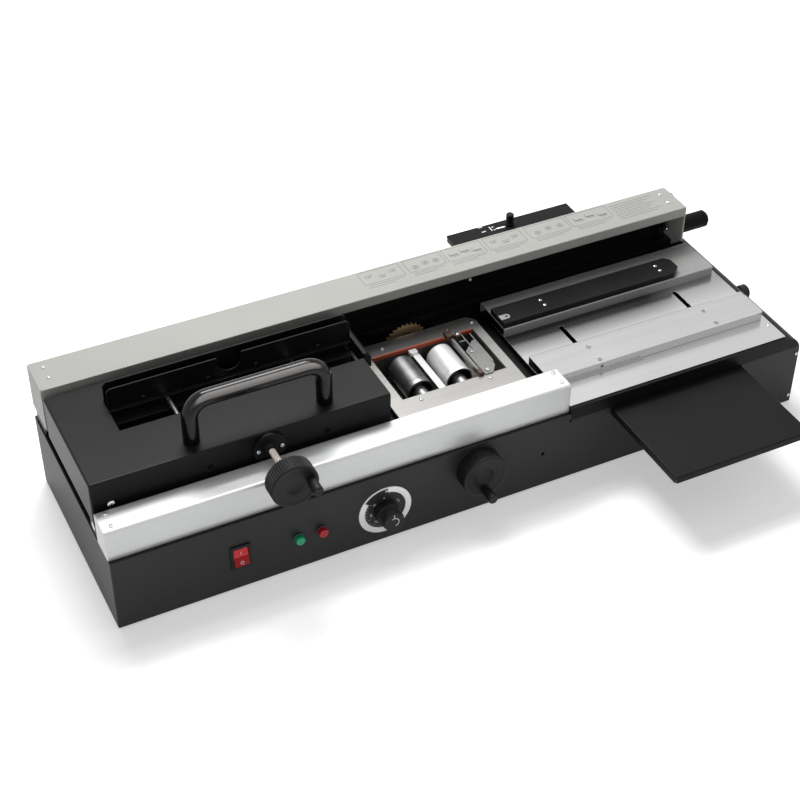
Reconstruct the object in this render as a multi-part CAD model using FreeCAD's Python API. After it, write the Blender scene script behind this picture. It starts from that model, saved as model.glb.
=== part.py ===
import FreeCAD, Part
import math
import os

# Desktop perfect binding machine with a sliding book carriage.
# Measured from the left end (x), the front panel (y) and the underside of the
# base (z), in millimetres.  save() moves each piece to the model's own frame:
# origin under the middle of the overall length, on the surface it stands on.

# Base
base_length = 900.0
base_depth = 273.0
deck_height = 98.0
sheet = 1.5
corner_radius = 2.0
foot_height = 3.0
foot_radius = 14.0
foot_inset = 42.0

# Nip station at the right
station_left = 568.0
station_panel_drop = 10.0
station_rise = 8.0
cover_width = 23.0
cover_step = 1.5
cover_radius = 22.0
table_overhang = 5.5
table_thickness = 2.0
table_front = 3.5
table_rear_gap = 16.0
table_tab_length = 45.0
table_tab_inset = 15.0
slot_width = 6.0
slot_first_x = 636.5
slot_right_inset = 72.5
slot_front = 46.0
slot_rear = 143.6
nip_plate_depth = 48.0
nip_plate_height = 13.0
nip_plate_front = 45.0
nip_plate_right_gap = 7.0
nip_fixed_front = 153.5
nip_fixed_height = 12.5
nip_bar_height = 8.0
nip_bar_length = 260.0
nip_bar_depth = 35.0
bar_screw_left = 64.0
bar_screw_right = 26.0
nip_pin_spacing = 27.0
nip_travel = 60.0
pin_collar_radius = 3.8
plate_hole_radius = 3.2

# Beams and rails
front_beam_front = 5.0
front_beam_depth = 34.0
front_beam_height = 40.6
front_beam_wall = 2.0
front_beam_radius = 4.0
rear_beam_right_gap = 40.0
rear_beam_depth = 54.0
rear_beam_rise = 81.0
rear_beam_inset = 5.5
rear_beam_wall = 2.0
rear_beam_lip = 13.0
rear_beam_skirt = 29.0
end_plate_thickness = 2.0
left_plate_rise = 22.0
right_plate_rise = 29.0
ledge_height = 14.0
ledge_depth = 18.0
ledge_front_inset = 41.0
link_block_height = 9.0
link_bracket_height = 23.0
front_rail_radius = 5.0
front_rail_y = 54.0
front_rail_rise = 10.0
rear_rail_radius = 6.0
rear_rail_inset = 38.0
rear_rail_rise = 62.0

# Carriage
carriage_length = 353.5
carriage_front = 45.0
carriage_rear_gap = 7.5
mouth_room = 44.0
carriage_rise = 75.0
carriage_wall = 1.5
carriage_edge_radius = 2.5
carriage_skirt_rise = 25.5
carriage_cheek_rise = 20.0
mouth_left = 59.5
mouth_right = 357.0
right_cheek_width = 10.0
right_cheek_front = 124.0
right_cheek_rise = 54.0
bearing_length = 40.0
bearing_left_inset = 10.0
bearing_right_inset = 13.5
front_bearing_left = 6.0
front_bearing_length = 44.0
carriage_travel = 500.0
handle_x = 124.0
handle_spacing = 158.0
handle_y = 67.0
handle_rise = 54.0
handle_radius = 9.5
handle_bend = 22.0

# Clamp jaws
jaw_face_inset = 45.0
page_block = 12.0
jaw_length = 295.6
jaw_plate = 1.5
jaw_bottom_rise = 34.0
jaw_rise = 25.0
jaw_bar_depth = 14.0
jaw_bar_height = 26.0
jaw_lip_drop = 2.0
jaw_lip_depth = 3.5
jaw_corner = 4.0
thumb_notch_x = 206.0
thumb_notch_width = 30.0
thumb_notch_depth = 21.0
jaw_close = 11.5
jaw_open = 38.0
guide_first_x = 128.7
guide_spacing = 151.6
guide_drop = 8.0
guide_radius = 3.0
guide_tube_radius = 6.0
front_hole_x = 135.5
front_hole_spacing = 138.9
front_hole_rise = 50.0
front_hole_radius = 4.0
side_screw_x = 21.8
side_screw_rise = 42.0
clamp_x = 204.5
clamp_rise = 53.5
clamp_screw_radius = 4.0
clamp_flange_radius = 19.5
clamp_flange_thickness = 4.0
clamp_hub_radius = 8.5

# Handwheels
wheel_radius = 28.0
wheel_width = 20.0
wheel_flutes = 54
flute_depth = 1.1
clamp_wheel_standoff = 9.0
wheel_knob_radius = 6.0
wheel_knob_length = 21.0
glue_wheel_x = 444.0
crank_shaft_radius = 4.0

# Glue pot, rollers and drive
pot_plate_left_margin = 18.0
pot_plate_right_margin = 11.7
pot_plate_front_gap = 26.0
pot_plate_rear_gap = 20.4
pot_plate_thickness = 3.0
pot_plate_rise = 10.0
pot_left_room = 18.5
pot_right_room = 10.0
pot_front_margin = 35.0
pot_rear_margin = 24.6
pot_wall = 4.0
pot_depth = 27.0
pot_floor_thickness = 2.0
roller_radius = 17.5
roller_hub_radius = 8.5
roller_front_gap = 24.0
roller_rear_gap = 8.0
roller_drop = 9.0
roller_first_x = 432.0
roller_spacing = 53.0
roller_shaft_radius = 5.0
gear_module = 1.0
roller_teeth = 20
arbor_teeth = 33
crank_teeth = 24
gear_width = 5.0
gear_gap = 0.8
sprocket_teeth = 28
sprocket_tip = 30.0
sprocket_root = 26.4
sprocket_thickness = 3.0
gear_plate_thickness = 2.5
bridge_gap = 3.5
bridge_width = 20.0
bridge_rear_inset = 23.0
blade_thickness = 1.2
blade_height = 7.0

# Controls on the front panel
rocker_x = 146.75
rocker_z = 47.7
rocker_width = 24.5
rocker_height = 33.4
lamp_first_x = 216.0
lamp_spacing = 28.5
lamp_z = 47.0
lamp_radius = 6.0
lamp_reach = 9.0
dial_x = 324.2
dial_z = 45.9
dial_ring_radius = 33.3
dial_plate_radius = 25.7
dial_knob_radius = 15.0
dial_knob_reach = 25.0
dial_shaft_radius = 3.0
inlet_x = 74.0
inlet_z = 40.0
vent_length = 18.0
vent_pitch = 26.0
vent_height = 3.5
vent_z = 40.0

# Cover trays
tray_drop = 1.0
tray_lip = 9.0
front_tray_left = 624.5
front_tray_width = 187.5
rear_tray_left = 617.0
rear_tray_width = 189.0
tray_reach = 139.0
tray_tail = 30.0
gauge_slot_left = 686.0
gauge_slot_length = 24.0
gauge_inset = 14.0
gauge_slot_width = 4.5
gauge_knob_radius = 5.4
gauge_knob_height = 17.5

# Right end
end_knob_y = 130.0
end_knob_drop = 14.0
end_knob_radius = 10.0
end_knob_reach = 12.0
lever_pivot_inset = 17.0
lever_pivot_rise = 67.0
lever_pivot_radius = 5.0
lever_drop = 23.0
lever_forward = 28.0
lever_arm_thickness = 5.0
lever_grip_radius = 11.25
lever_grip_length = 43.0

# Clearances
running_fit = 0.05
sliding_gap = 0.3
panel_gap = 0.5

# Places that follow from the sizes above
station_height = deck_height + station_rise
station_panel_height = deck_height - station_panel_drop
tray_top = station_panel_height - tray_drop
end_knob_z = deck_height - end_knob_drop
rear_beam_top = deck_height + rear_beam_rise
rear_rail_z = deck_height + rear_rail_rise
lever_pivot_z = deck_height + lever_pivot_rise
carriage_top = deck_height + carriage_rise
carriage_skirt_bottom = deck_height + carriage_skirt_rise
carriage_cheek_bottom = deck_height + carriage_cheek_rise
right_cheek_bottom = deck_height + right_cheek_rise
jaw_bottom = deck_height + jaw_bottom_rise
clamp_z = deck_height + clamp_rise
guide_z = carriage_top - guide_drop
cover_top = station_height - cover_step
cover_left = base_length - cover_width
shell_right = base_length - sheet
ledge_front = base_depth - ledge_front_inset
ledge_rear = ledge_front + ledge_depth
ledge_top = deck_height + ledge_height
rear_beam_rear = base_depth - rear_beam_inset
rear_beam_front = rear_beam_rear - rear_beam_depth
rear_beam_right = base_length - rear_beam_right_gap
rear_rail_y = base_depth - rear_rail_inset
table_left = station_left - table_overhang
table_top = station_height + table_thickness
table_rear = ledge_front - table_rear_gap
front_beam_right = station_left - sliding_gap
front_beam_top = deck_height + front_beam_height
front_beam_rear = front_beam_front + front_beam_depth
front_rail_z = deck_height + front_rail_rise
slots_x = [slot_first_x, cover_left - slot_right_inset]
nip_right = cover_left - nip_plate_right_gap
nip_bottom = table_top + sliding_gap
nip_top = table_top + nip_plate_height
pins_y = [nip_plate_front + 5.8, nip_plate_front + 5.8 + nip_pin_spacing]
fixed_top = table_top + nip_fixed_height
under_top = carriage_top - carriage_wall
carriage_rear = rear_beam_front - carriage_rear_gap
jaw_face = carriage_rear - jaw_face_inset
carriage_split = jaw_face - mouth_room
rear_face = jaw_face + page_block
jaw_left = (mouth_left + mouth_right - jaw_length) / 2
jaw_right = jaw_left + jaw_length
jaw_top = carriage_top + jaw_rise
jaw_back = jaw_face - jaw_plate
jaw_lip_top = under_top - jaw_lip_drop
guides_x = [guide_first_x, guide_first_x + guide_spacing]
guide_rod_front = carriage_front + carriage_wall + jaw_open + 3.5
guide_tube_end = guide_rod_front + jaw_close + 6.5
bar_front = jaw_back - jaw_bar_depth
pot_plate_front = front_beam_rear + pot_plate_front_gap
pot_plate_rear = ledge_front - pot_plate_rear_gap
pot_front = pot_plate_front + pot_front_margin
pot_rear = pot_plate_rear - pot_rear_margin
pot_floor_z = deck_height - pot_depth
plate_top = deck_height + pot_plate_rise
plate_under = plate_top - pot_plate_thickness
rollers_x = [roller_first_x, roller_first_x + roller_spacing]
bridge_left = rollers_x[1] + roller_radius + bridge_gap
pot_left = rollers_x[0] - roller_radius - pot_left_room
pot_right = bridge_left + bridge_width + pot_right_room
pot_plate_left = pot_left - pot_plate_left_margin
pot_plate_right = pot_right + pot_plate_right_margin
arbor_x = roller_first_x + roller_spacing / 2
roller_z = deck_height - roller_drop
roller_front = pot_front + roller_front_gap
roller_rear = pot_rear - roller_rear_gap
crank_distance = gear_module * (arbor_teeth + crank_teeth) / 2
glue_wheel_z = roller_z - math.sqrt(crank_distance ** 2 - (glue_wheel_x - arbor_x) ** 2)
gear_plate_front = ledge_front - gear_plate_thickness
gear_front = pot_plate_rear + gear_gap
gear_rear = gear_front + gear_width
sprocket_front = gear_rear + gear_gap
tray_bottom = tray_top - tray_lip
gauge_y = base_depth + tray_reach - gauge_inset
lever_pivot_y = base_depth - lever_pivot_inset
lever_x = rear_beam_right + end_plate_thickness + 1.0

V = FreeCAD.Vector
frame_shift = V(-(base_length + end_knob_reach) / 2, -base_depth / 2, foot_height)
along = {"x": V(1, 0, 0), "y": V(0, 1, 0), "z": V(0, 0, 1)}


def box(x0, x1, y0, y1, z0, z1):
    return Part.makeBox(x1 - x0, y1 - y0, z1 - z0, V(x0, y0, z0))


def place(axis, a, b, s):
    """Point at s along the axis, with a and b on the other two axes in order."""
    if axis == "x":
        return V(s, a, b)
    if axis == "y":
        return V(a, s, b)
    return V(a, b, s)


def rod(axis, a, b, start, end, radius):
    return Part.makeCylinder(radius, end - start, place(axis, a, b, start), along[axis])


def cone(axis, a, b, start, end, start_radius, end_radius):
    return Part.makeCone(start_radius, end_radius, end - start, place(axis, a, b, start), along[axis])


def ring(axis, a, b, start, end, outer, inner):
    return rod(axis, a, b, start, end, outer).cut(rod(axis, a, b, start - 1, end + 1, inner))


def prism(axis, points, start, end):
    """Extrude a closed outline given in the two other axes, in order."""
    corners = [place(axis, a, b, start) for a, b in points]
    face = Part.Face(Part.makePolygon(corners + corners[:1]))
    return face.extrude(along[axis] * (end - start))


def joined(shapes):
    return shapes[0].multiFuse(shapes[1:]).removeSplitter() if len(shapes) > 1 else shapes[0]


def cut_all(shape, tools):
    return shape.cut(Part.makeCompound(tools))


def edges_at(shape, axis, **limits):
    """Straight edges along one axis whose middle lies at the given places."""
    chosen = []
    for edge in shape.Edges:
        if edge.Curve.TypeId != "Part::GeomLine":
            continue
        if abs(abs(edge.tangentAt(edge.FirstParameter).dot(along[axis])) - 1) > 1e-6:
            continue
        middle = edge.CenterOfMass
        places = {"x": middle.x, "y": middle.y, "z": middle.z}
        if all(any(abs(places[k] - s) < 0.01 for s in spots) for k, spots in limits.items()):
            chosen.append(edge)
    return chosen


def save(name, shape):
    shape = shape.copy()
    shape.translate(frame_shift)
    shape.exportStep("parts/" + name + ".step")


def tapered(axis, a, b, start, end, start_radius, end_radius, sides):
    """Faceted frustum, for small pieces that repeat."""
    rims = []
    for s, radius in ((start, start_radius), (end, end_radius)):
        turns = [2 * math.pi * (side + 0.5) / sides for side in range(sides)]
        corners = [place(axis, a + radius * math.cos(t), b + radius * math.sin(t), s) for t in turns]
        rims.append(Part.makePolygon(corners + corners[:1]))
    return Part.makeLoft(rims, True, True)


def screw_head(axis, a, b, seat, direction, radius=3.0, height=1.8):
    """Low pan head standing on its seat."""
    tip = seat + direction * height
    small = radius * 0.8
    if direction > 0:
        return tapered(axis, a, b, seat, tip, radius, small, 8)
    return tapered(axis, a, b, tip, seat, small, radius, 8)


def gear_outline(teeth, phase):
    """Outline of a spur gear with a tooth centred on the phase angle."""
    pitch_radius = gear_module * teeth / 2
    stations = [(pitch_radius - 1.15 * gear_module, 0.30), (pitch_radius + 0.85 * gear_module, 0.12)]
    step = 2 * math.pi / teeth
    points = []
    for tooth in range(teeth):
        middle = phase + tooth * step
        for radius, half in stations:
            points.append((radius, middle - half * step))
        for radius, half in reversed(stations):
            points.append((radius, middle + half * step))
    return points


def gear(x, z, teeth, phase, front, rear):
    outline = [(x + r * math.cos(a), z + r * math.sin(a)) for r, a in gear_outline(teeth, phase)]
    return prism("y", outline, front, rear)


def mesh_phase(driver_teeth, driver_phase, follower_teeth, direction):
    """Phase that puts a follower's gap on the driver's tooth, seen along the line of centres."""
    driver_step = 2 * math.pi / driver_teeth
    share = ((direction - driver_phase) % driver_step) / driver_step
    return direction + math.pi + (share - 0.5) * 2 * math.pi / follower_teeth


def base_shell():
    outline = [(0, 0), (shell_right, 0), (shell_right, station_panel_height),
               (station_left, station_panel_height), (station_left, deck_height), (0, deck_height)]
    body = prism("y", outline, 0, base_depth)
    body = body.makeFillet(corner_radius, edges_at(body, "z", x=[0], y=[0, base_depth]))
    inside = box(sheet, shell_right - sheet, sheet, base_depth - sheet, sheet, deck_height + 1)
    holes = [
        box(rocker_x - rocker_width / 2 + 2, rocker_x + rocker_width / 2 - 2, -1, 3,
            rocker_z - rocker_height / 2 + 2.5, rocker_z + rocker_height / 2 - 2.5),
        rod("y", dial_x, dial_z, -1, 3, dial_shaft_radius + running_fit),
        rod("y", glue_wheel_x, glue_wheel_z, -1, 3, crank_shaft_radius + running_fit),
        rod("y", station_left - 35.3, dial_z + 3.4, -1, 3, 2.5),
        rod("x", end_knob_y, end_knob_z, shell_right - 3, shell_right + 1, 3.5),
        rod("y", station_left, station_panel_height, -1, 3, 2.0),
        tray_opening(front_tray_left, front_tray_width, -1, 3),
        tray_opening(rear_tray_left, rear_tray_width, base_depth - 3, base_depth + 1),
        inlet_opening(panel_gap),
    ]
    for side in (0, 1):
        holes.append(rod("y", lamp_first_x + side * lamp_spacing, lamp_z, -1, 3, lamp_radius - 2))
    for row in range(6):
        left = glue_wheel_x + (row - 2.7) * vent_pitch
        holes.append(box(left, left + vent_length, base_depth - 3, base_depth + 1, vent_z, vent_z + vent_height))
    return cut_all(body.cut(inside), holes)


def tray_opening(left, width, front, rear):
    return box(left - panel_gap, left + width + panel_gap, front, rear,
               tray_bottom - sliding_gap, station_panel_height + 1)


def rubber_feet():
    feet = []
    for x in (foot_inset, base_length - foot_inset):
        for y in (foot_inset, base_depth - foot_inset):
            feet.append(cone("z", x, y, -foot_height, 0, foot_radius - 1, foot_radius))
    return Part.makeCompound(feet)


def drive_slot(front, rear, low, high):
    """Room for the roller shafts and the gears behind the pot."""
    return box(rollers_x[0] - 18, rollers_x[1] + 18, front, rear, low, high)


def deck_plate():
    plate = box(sheet, station_left, sheet, base_depth - sheet, deck_height - sheet, deck_height)
    pot = box(pot_left - pot_wall - panel_gap, pot_right + pot_wall + panel_gap,
              pot_front - pot_wall - panel_gap, pot_rear + pot_wall + panel_gap, 0, deck_height + 1)
    return cut_all(plate, [pot, drive_slot(pot_rear, ledge_front + sliding_gap, 0, deck_height + 1)])


def nip_slots(low, high, extra):
    tools = []
    half = slot_width / 2 + extra
    for x in slots_x:
        tools.append(box(x - half, x + half, slot_front + half, slot_rear - half, low, high))
        tools.append(rod("z", x, slot_front + half, low, high, half))
        tools.append(rod("z", x, slot_rear - half, low, high, half))
    return tools


def nip_frame():
    body = box(station_left, cover_left, 0, base_depth, station_panel_height, station_height)
    inside = box(station_left + sheet, cover_left - sheet, sheet, base_depth - sheet,
                 station_panel_height - 1, station_height - sheet)
    return cut_all(body, [inside] + nip_slots(station_panel_height, station_height + 1, 0.5))


def end_cover():
    """Folded end sheet that rolls over into the top, with a cheek at each end of the roll."""
    low = station_panel_height
    outline = [(cover_left, low), (cover_left, cover_top), (base_length, cover_top),
               (base_length, 0), (shell_right, 0), (shell_right, low)]
    body = prism("y", outline, 0, base_depth)
    body = body.makeFillet(cover_radius, edges_at(body, "y", x=[base_length], z=[cover_top]))
    floor = min(low, cover_top - cover_radius) - 2
    room = box(cover_left + sheet, shell_right, sheet, base_depth - sheet, floor, cover_top - sheet)
    bend = min(cover_radius - sheet, shell_right - cover_left - sheet - 0.5)
    room = room.makeFillet(bend, edges_at(room, "y", x=[shell_right], z=[cover_top - sheet]))
    shaft = rod("x", end_knob_y, end_knob_z, shell_right - 3, base_length + 1, 3 + running_fit)
    return body.cut(room).cut(shaft)


def end_cover_screws():
    """Two at the front edge and two at the rear edge."""
    heads = []
    for z in (station_panel_height - 11, 10.6):
        heads.append(screw_head("y", base_length - 4.0, z, 0, -1, 2.4, 1.6))
        heads.append(screw_head("y", base_length - 4.0, z, base_depth, 1, 2.4, 1.6))
    return heads


def housing_outline(wall):
    front, rear = ledge_front + wall, ledge_rear + wall
    top = rear_beam_top - rear_beam_wall - wall
    back = rear_beam_rear - rear_beam_wall - 0.1 - wall
    low = deck_height - (1 if wall else 0)
    step = ledge_top - wall
    return [(front, low), (front, step), (rear, step), (rear, top), (back, top), (back, low)]


def rear_housing():
    left, right = end_plate_thickness, rear_beam_right - 2
    body = prism("x", housing_outline(0), left, right)
    room = prism("x", housing_outline(sheet), left + sheet, right - sheet)
    station = box(station_left - 0.1, right + 1, 0, base_depth, 0, station_height)
    ledge_end = box(right, cover_left - sliding_gap, ledge_front, ledge_rear, station_height, ledge_top)
    return joined([cut_all(body, [room, station]), ledge_end, link_block()])


def link_block():
    """Low block behind the beam's right end, under the bracket of the nip linkage."""
    right = rear_beam_right - 2
    return box(right - 24, right, ledge_front, ledge_rear, ledge_top - sheet, ledge_top + link_block_height)


def link_bracket():
    """Bent bracket with its pin, seated on the block."""
    left = rear_beam_right - 19.5
    low = ledge_top + link_block_height
    top = low + link_bracket_height
    foot = box(left, left + 15, ledge_front + 1, ledge_front + 13, low, low + 2)
    web = box(left + 4, left + 13, ledge_front + 11, ledge_front + 13, low, top)
    pin = rod("y", left + 8.5, top - 8, ledge_front + 5, ledge_front + 12, 3.2)
    return joined([foot, web, pin])


def front_beam():
    body = box(0, front_beam_right, front_beam_front, front_beam_rear, deck_height, front_beam_top)
    edge = edges_at(body, "x", y=[front_beam_front], z=[front_beam_top])
    body = body.makeFillet(front_beam_radius, edge)
    wall = front_beam_wall
    room = box(wall, front_beam_right - wall, front_beam_front + wall, front_beam_rear + 1,
               deck_height + wall, front_beam_top - wall)
    return body.cut(room)


def front_beam_screws():
    heads = []
    for x in (11.0, front_beam_right - 7.5):
        for y in (front_beam_front + 9, front_beam_rear - 5.5):
            heads.append(screw_head("z", x, y, front_beam_top, 1, 2.8, 1.6))
    return heads


def rear_beam():
    left, wall = end_plate_thickness, rear_beam_wall
    front, rear, top = rear_beam_front, rear_beam_rear, rear_beam_top
    lip, skirt = top - rear_beam_lip, top - rear_beam_skirt
    outline = [(front, lip), (front, top), (rear, top), (rear, skirt), (rear - wall, skirt),
               (rear - wall, top - wall), (front + wall, top - wall), (front + wall, lip)]
    body = prism("x", outline, left, rear_beam_right)
    edges = edges_at(body, "x", y=[front, rear], z=[top])
    return body.makeFillet(1.2, edges)


def end_plate(left, bottom):
    """Beam end plate with its top corners rounded."""
    right = left + end_plate_thickness
    plate = box(left, right, rear_beam_front, rear_beam_rear, bottom, rear_beam_top)
    edges = edges_at(plate, "x", y=[rear_beam_front, rear_beam_rear], z=[rear_beam_top])
    return plate.makeFillet(3.0, edges)


def beam_end_plates():
    left = end_plate(0, deck_height + left_plate_rise)
    hole = rod("x", lever_pivot_y, lever_pivot_z, rear_beam_right - 1, lever_x + 1,
               lever_pivot_radius + running_fit)
    right = end_plate(rear_beam_right, deck_height + right_plate_rise)
    return Part.makeCompound([left, right.cut(hole)])


def rear_beam_screws():
    heads = []
    for x in (15.8, rear_beam_right - 13.5):
        for y in (rear_beam_front + 20, rear_beam_front + 40):
            heads.append(screw_head("z", x, y, rear_beam_top, 1, 2.8, 1.6))
    return heads


def rails():
    front = rod("x", front_rail_y, front_rail_z, 1.0, table_left - 2.0, front_rail_radius)
    rear = rod("x", rear_rail_y, rear_rail_z, end_plate_thickness, rear_beam_right, rear_rail_radius)
    return Part.makeCompound([front, rear])


def rail_brackets():
    blocks = []
    for left in (1.0, table_left - 10.0):
        block = box(left, left + 4 if left < 10 else left + 8, front_rail_y - 9, front_rail_y + 9,
                    deck_height, front_rail_z + 7)
        hole = rod("x", front_rail_y, front_rail_z, left - 1, left + 9, front_rail_radius + 0.02)
        edges = edges_at(block, "x", z=[front_rail_z + 7])
        blocks.append(block.makeFillet(3.0, edges).cut(hole))
    return Part.makeCompound(blocks + [link_bracket()])


def nip_table():
    plate = box(table_left, cover_left, table_front, table_rear, station_height, table_top)
    tabs = []
    for front in (nip_plate_front + table_tab_inset, table_rear - table_tab_length):
        tabs.append(box(cover_left, cover_left + 6, front, front + table_tab_length - 8, station_height, table_top))
    beam = box(table_left - 1, station_left + sliding_gap, 0, front_beam_rear + sliding_gap, 0, table_top + 1)
    return cut_all(joined([plate] + tabs), [beam] + nip_slots(station_height - 1, table_top + 1, 0))


def table_screws():
    heads = []
    for y in (table_front + 28, table_rear - 6):
        heads.append(screw_head("z", cover_left - 5, y, table_top, 1, 2.6, 1.5))
    return heads


def channel(left, right, front, rear, low, top, wall):
    """Sheet channel, open below and at both ends, with soft upper bends."""
    body = box(left, right, front, rear, low, top)
    body = body.makeFillet(1.5, edges_at(body, "x", z=[top]))
    return body.cut(box(left - 1, right + 1, front + wall, rear - wall, low - 1, top - wall))


def rear_nip_plate():
    plate = channel(table_left, nip_right, nip_fixed_front, table_rear, table_top, fixed_top, 2.0)
    return Part.makeCompound([plate, nip_bar_tab()])


def nip_bar():
    right = table_left + nip_bar_length
    front = nip_fixed_front + 1.5
    rear = front + nip_bar_depth
    outline = [(table_left, front), (right - 11, front), (right, front + 10), (right, rear - 8),
               (right - 8, rear), (table_left, rear)]
    bar = prism("z", outline, fixed_top, fixed_top + nip_bar_height)
    return bar.makeChamfer(0.8, edges_at(bar, "x", z=[fixed_top + nip_bar_height]))


def nip_bar_screws():
    heads = []
    for x in (table_left + bar_screw_left, table_left + nip_bar_length - bar_screw_right):
        for y in (nip_fixed_front + 13.5, nip_fixed_front + 24.5):
            heads.append(screw_head("z", x, y, fixed_top + nip_bar_height, 1, 2.6, 1.4))
    return heads


def nip_bar_tab():
    seat = fixed_top + nip_bar_height
    y = nip_fixed_front + 12.5
    strip = box(table_left, table_left + 9, y - 4.5, y + 4.5, seat, seat + 1.2)
    round_end = rod("z", table_left + 9, y, seat, seat + 1.2, 4.5)
    hole = rod("z", table_left + 9, y, seat - 1, seat + 2, 1.8)
    return joined([strip, round_end]).cut(hole)


def glue_pot():
    """Cast pot with a hanger under its rear wall for the crank shaft."""
    low = pot_floor_z - pot_floor_thickness
    outer = box(pot_left - pot_wall, pot_right + pot_wall, pot_front - pot_wall, pot_rear + pot_wall, low, plate_under)
    outer = outer.makeChamfer(3.0, edges_at(outer, "z", z=[(low + plate_under) / 2]))
    reach = crank_shaft_radius + 4
    hanger = box(glue_wheel_x - reach, glue_wheel_x + reach, pot_rear - 4, pot_rear + pot_wall,
                 glue_wheel_z - reach, low + 1)
    room = box(pot_left, pot_right, pot_front, pot_rear, pot_floor_z, plate_under + 1)
    room = room.makeChamfer(1.5, edges_at(room, "z", x=[pot_left, pot_right]))
    bores = [rod("y", x, roller_z, pot_front - 9, pot_rear + 9, roller_shaft_radius + running_fit)
             for x in rollers_x]
    bores.append(rod("y", glue_wheel_x, glue_wheel_z, pot_rear - 9, pot_rear + 9, crank_shaft_radius + running_fit))
    return cut_all(joined([outer, hanger]), [room] + bores)


def pot_frame():
    inset = 4.0
    outer = box(pot_plate_left + inset, pot_plate_right - inset, pot_plate_front + inset,
                pot_plate_rear - inset, deck_height, plate_under)
    room = box(pot_left - pot_wall - 0.3, pot_right + pot_wall + 0.3, pot_front - pot_wall - 0.3,
               pot_rear + pot_wall + 0.3, 0, plate_under + 1)
    return cut_all(outer, [room, drive_slot(pot_rear, pot_plate_rear + 1, 0, plate_under + 1)])


def pot_plate():
    left, right, front, rear = pot_plate_left, pot_plate_right, pot_plate_front, pot_plate_rear
    outline = [(left, front), (right, front), (right, rear - 9), (right - 9, rear), (left, rear)]
    plate = prism("z", outline, plate_under, plate_top)
    room = box(pot_left, pot_right, pot_front, pot_rear, plate_under - 1, plate_top + 1)
    return plate.cut(room)


def pot_gasket():
    """Sealing strip along the pot's rear edge, pressed flat under the pivot block."""
    front, low, raised = pot_rear - 2.2, plate_under - 1, plate_top + 0.8
    left, right = blade_x() - 7, blade_x() + 7
    strip = box(pot_left + 2.5, pot_right - 2.5, front, pot_rear, low, plate_top - 0.3)
    return joined([strip, box(pot_left + 2.5, left, front, pot_rear, low, raised),
                   box(right, pot_right - 2.5, front, pot_rear, low, raised)])


def pot_screws():
    places = [(pot_plate_left + 38.5, pot_rear + 12), (pot_right + 5, pot_rear + 12), (blade_x() + 4, pot_rear + 9),
              (pot_plate_left + 38.5, pot_front - 8.5), (pot_right - 27, pot_front - 8.5)]
    heads = [screw_head("z", x, y, plate_top, 1, 2.9, 1.6) for x, y in places]
    return heads


def pot_divider():
    """Web between the rollers with a flat strip on it, and the white rest at its rear end."""
    top = plate_under - 1.5
    front, rear = pot_front, pot_rear - 8
    web = box(arbor_x - 4.5, arbor_x - 3.0, front, rear, pot_floor_z, top - 1.5)
    strip = box(arbor_x - 11, arbor_x - 2.5, front, rear - 3, top - 1.5, top)
    rest = box(arbor_x - 14, arbor_x - 4, rear - 3, rear + 4, top - 1.5, top + 4)
    rest = rest.cut(box(arbor_x - 4.5, arbor_x - 3, 0, rear, 0, top - 1.5))
    return Part.makeCompound([joined([web, strip]), rest])


def blade_x():
    return bridge_left - 5.5


def blade_bridge():
    """Glue blade on its two pivots, with the plate that holds its stop rod."""
    return Part.makeCompound([bridge_plate(), doctor_blade(), blade_rod(), blade_stop()])


def bridge_plate():
    left, right = bridge_left, bridge_left + bridge_width
    front, rear = pot_front - 1.5, pot_rear - bridge_rear_inset
    outline = [(left + 1, front), (left + 11, front), (right, front + 12), (right, rear),
               (right - 3.5, rear), (left, rear - 16), (left, front + 2)]
    return prism("z", outline, plate_top, plate_top + 1.5)


def doctor_blade():
    """Thin upright blade with a folded top edge."""
    x, front, rear = blade_x(), pot_front + 7.5, pot_rear - 9.5
    top = plate_top + 2.5
    blade = box(x, x + blade_thickness, front, rear, top - blade_height, top)
    fold = box(x, x + 3.2, front, rear, top - blade_thickness, top)
    return joined([blade, fold])


def blade_rod():
    x = bridge_left + bridge_width + 1.2
    return rod("y", x, plate_top + 0.75, pot_front + 17, pot_rear - bridge_rear_inset + 14, 1.2)


def blade_stop():
    """Small upright tongue beside the blade's rear pivot."""
    rear = pot_rear - bridge_rear_inset
    strap = box(bridge_left + 9, bridge_left + 10.5, rear - 12, pot_rear - 3, plate_top + 1.5, plate_top + 3)
    tongue = box(bridge_left + 0.5, bridge_left + 9.5, rear + 2, rear + 3.5, plate_top - 5, plate_top + 3)
    return joined([strap, tongue])


def bridge_screws():
    x, seat = bridge_left + 6.5, plate_top + 1.5
    heads = [screw_head("z", x, y, seat, 1, 3.0, 2.0) for y in (pot_front + 4.5, pot_front + 44.5)]
    heads.append(screw_head("z", blade_x() + 9.2, pot_rear - 9, plate_top + 6, 1, 3.0, 2.0))
    return heads


def blade_pivots():
    """Rear and front pivot blocks, with the rear one's nut beside it."""
    x = blade_x()
    rear = box(x - 4.5, x + 4.5, pot_rear - 9, pot_rear + 3, plate_top - 1.5, plate_top + 6)
    rear = rear.cut(box(x - 9, x + 9, pot_rear - 2.5, pot_rear + 9, 0, plate_top + 0.1))
    front = box(x - 2.5, x + 4.5, pot_front - 1, pot_front + 7.5, plate_top + 0.0, plate_top + 5)
    nut = tapered("z", x + 9.2, pot_rear - 9, plate_top - 1, plate_top + 6, 4.4, 4.4, 6)
    return Part.makeCompound([rear.makeChamfer(1.0, edges_at(rear, "y", z=[plate_top + 6])),
                              front.makeChamfer(1.0, edges_at(front, "y", z=[plate_top + 5])), nut])


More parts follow.
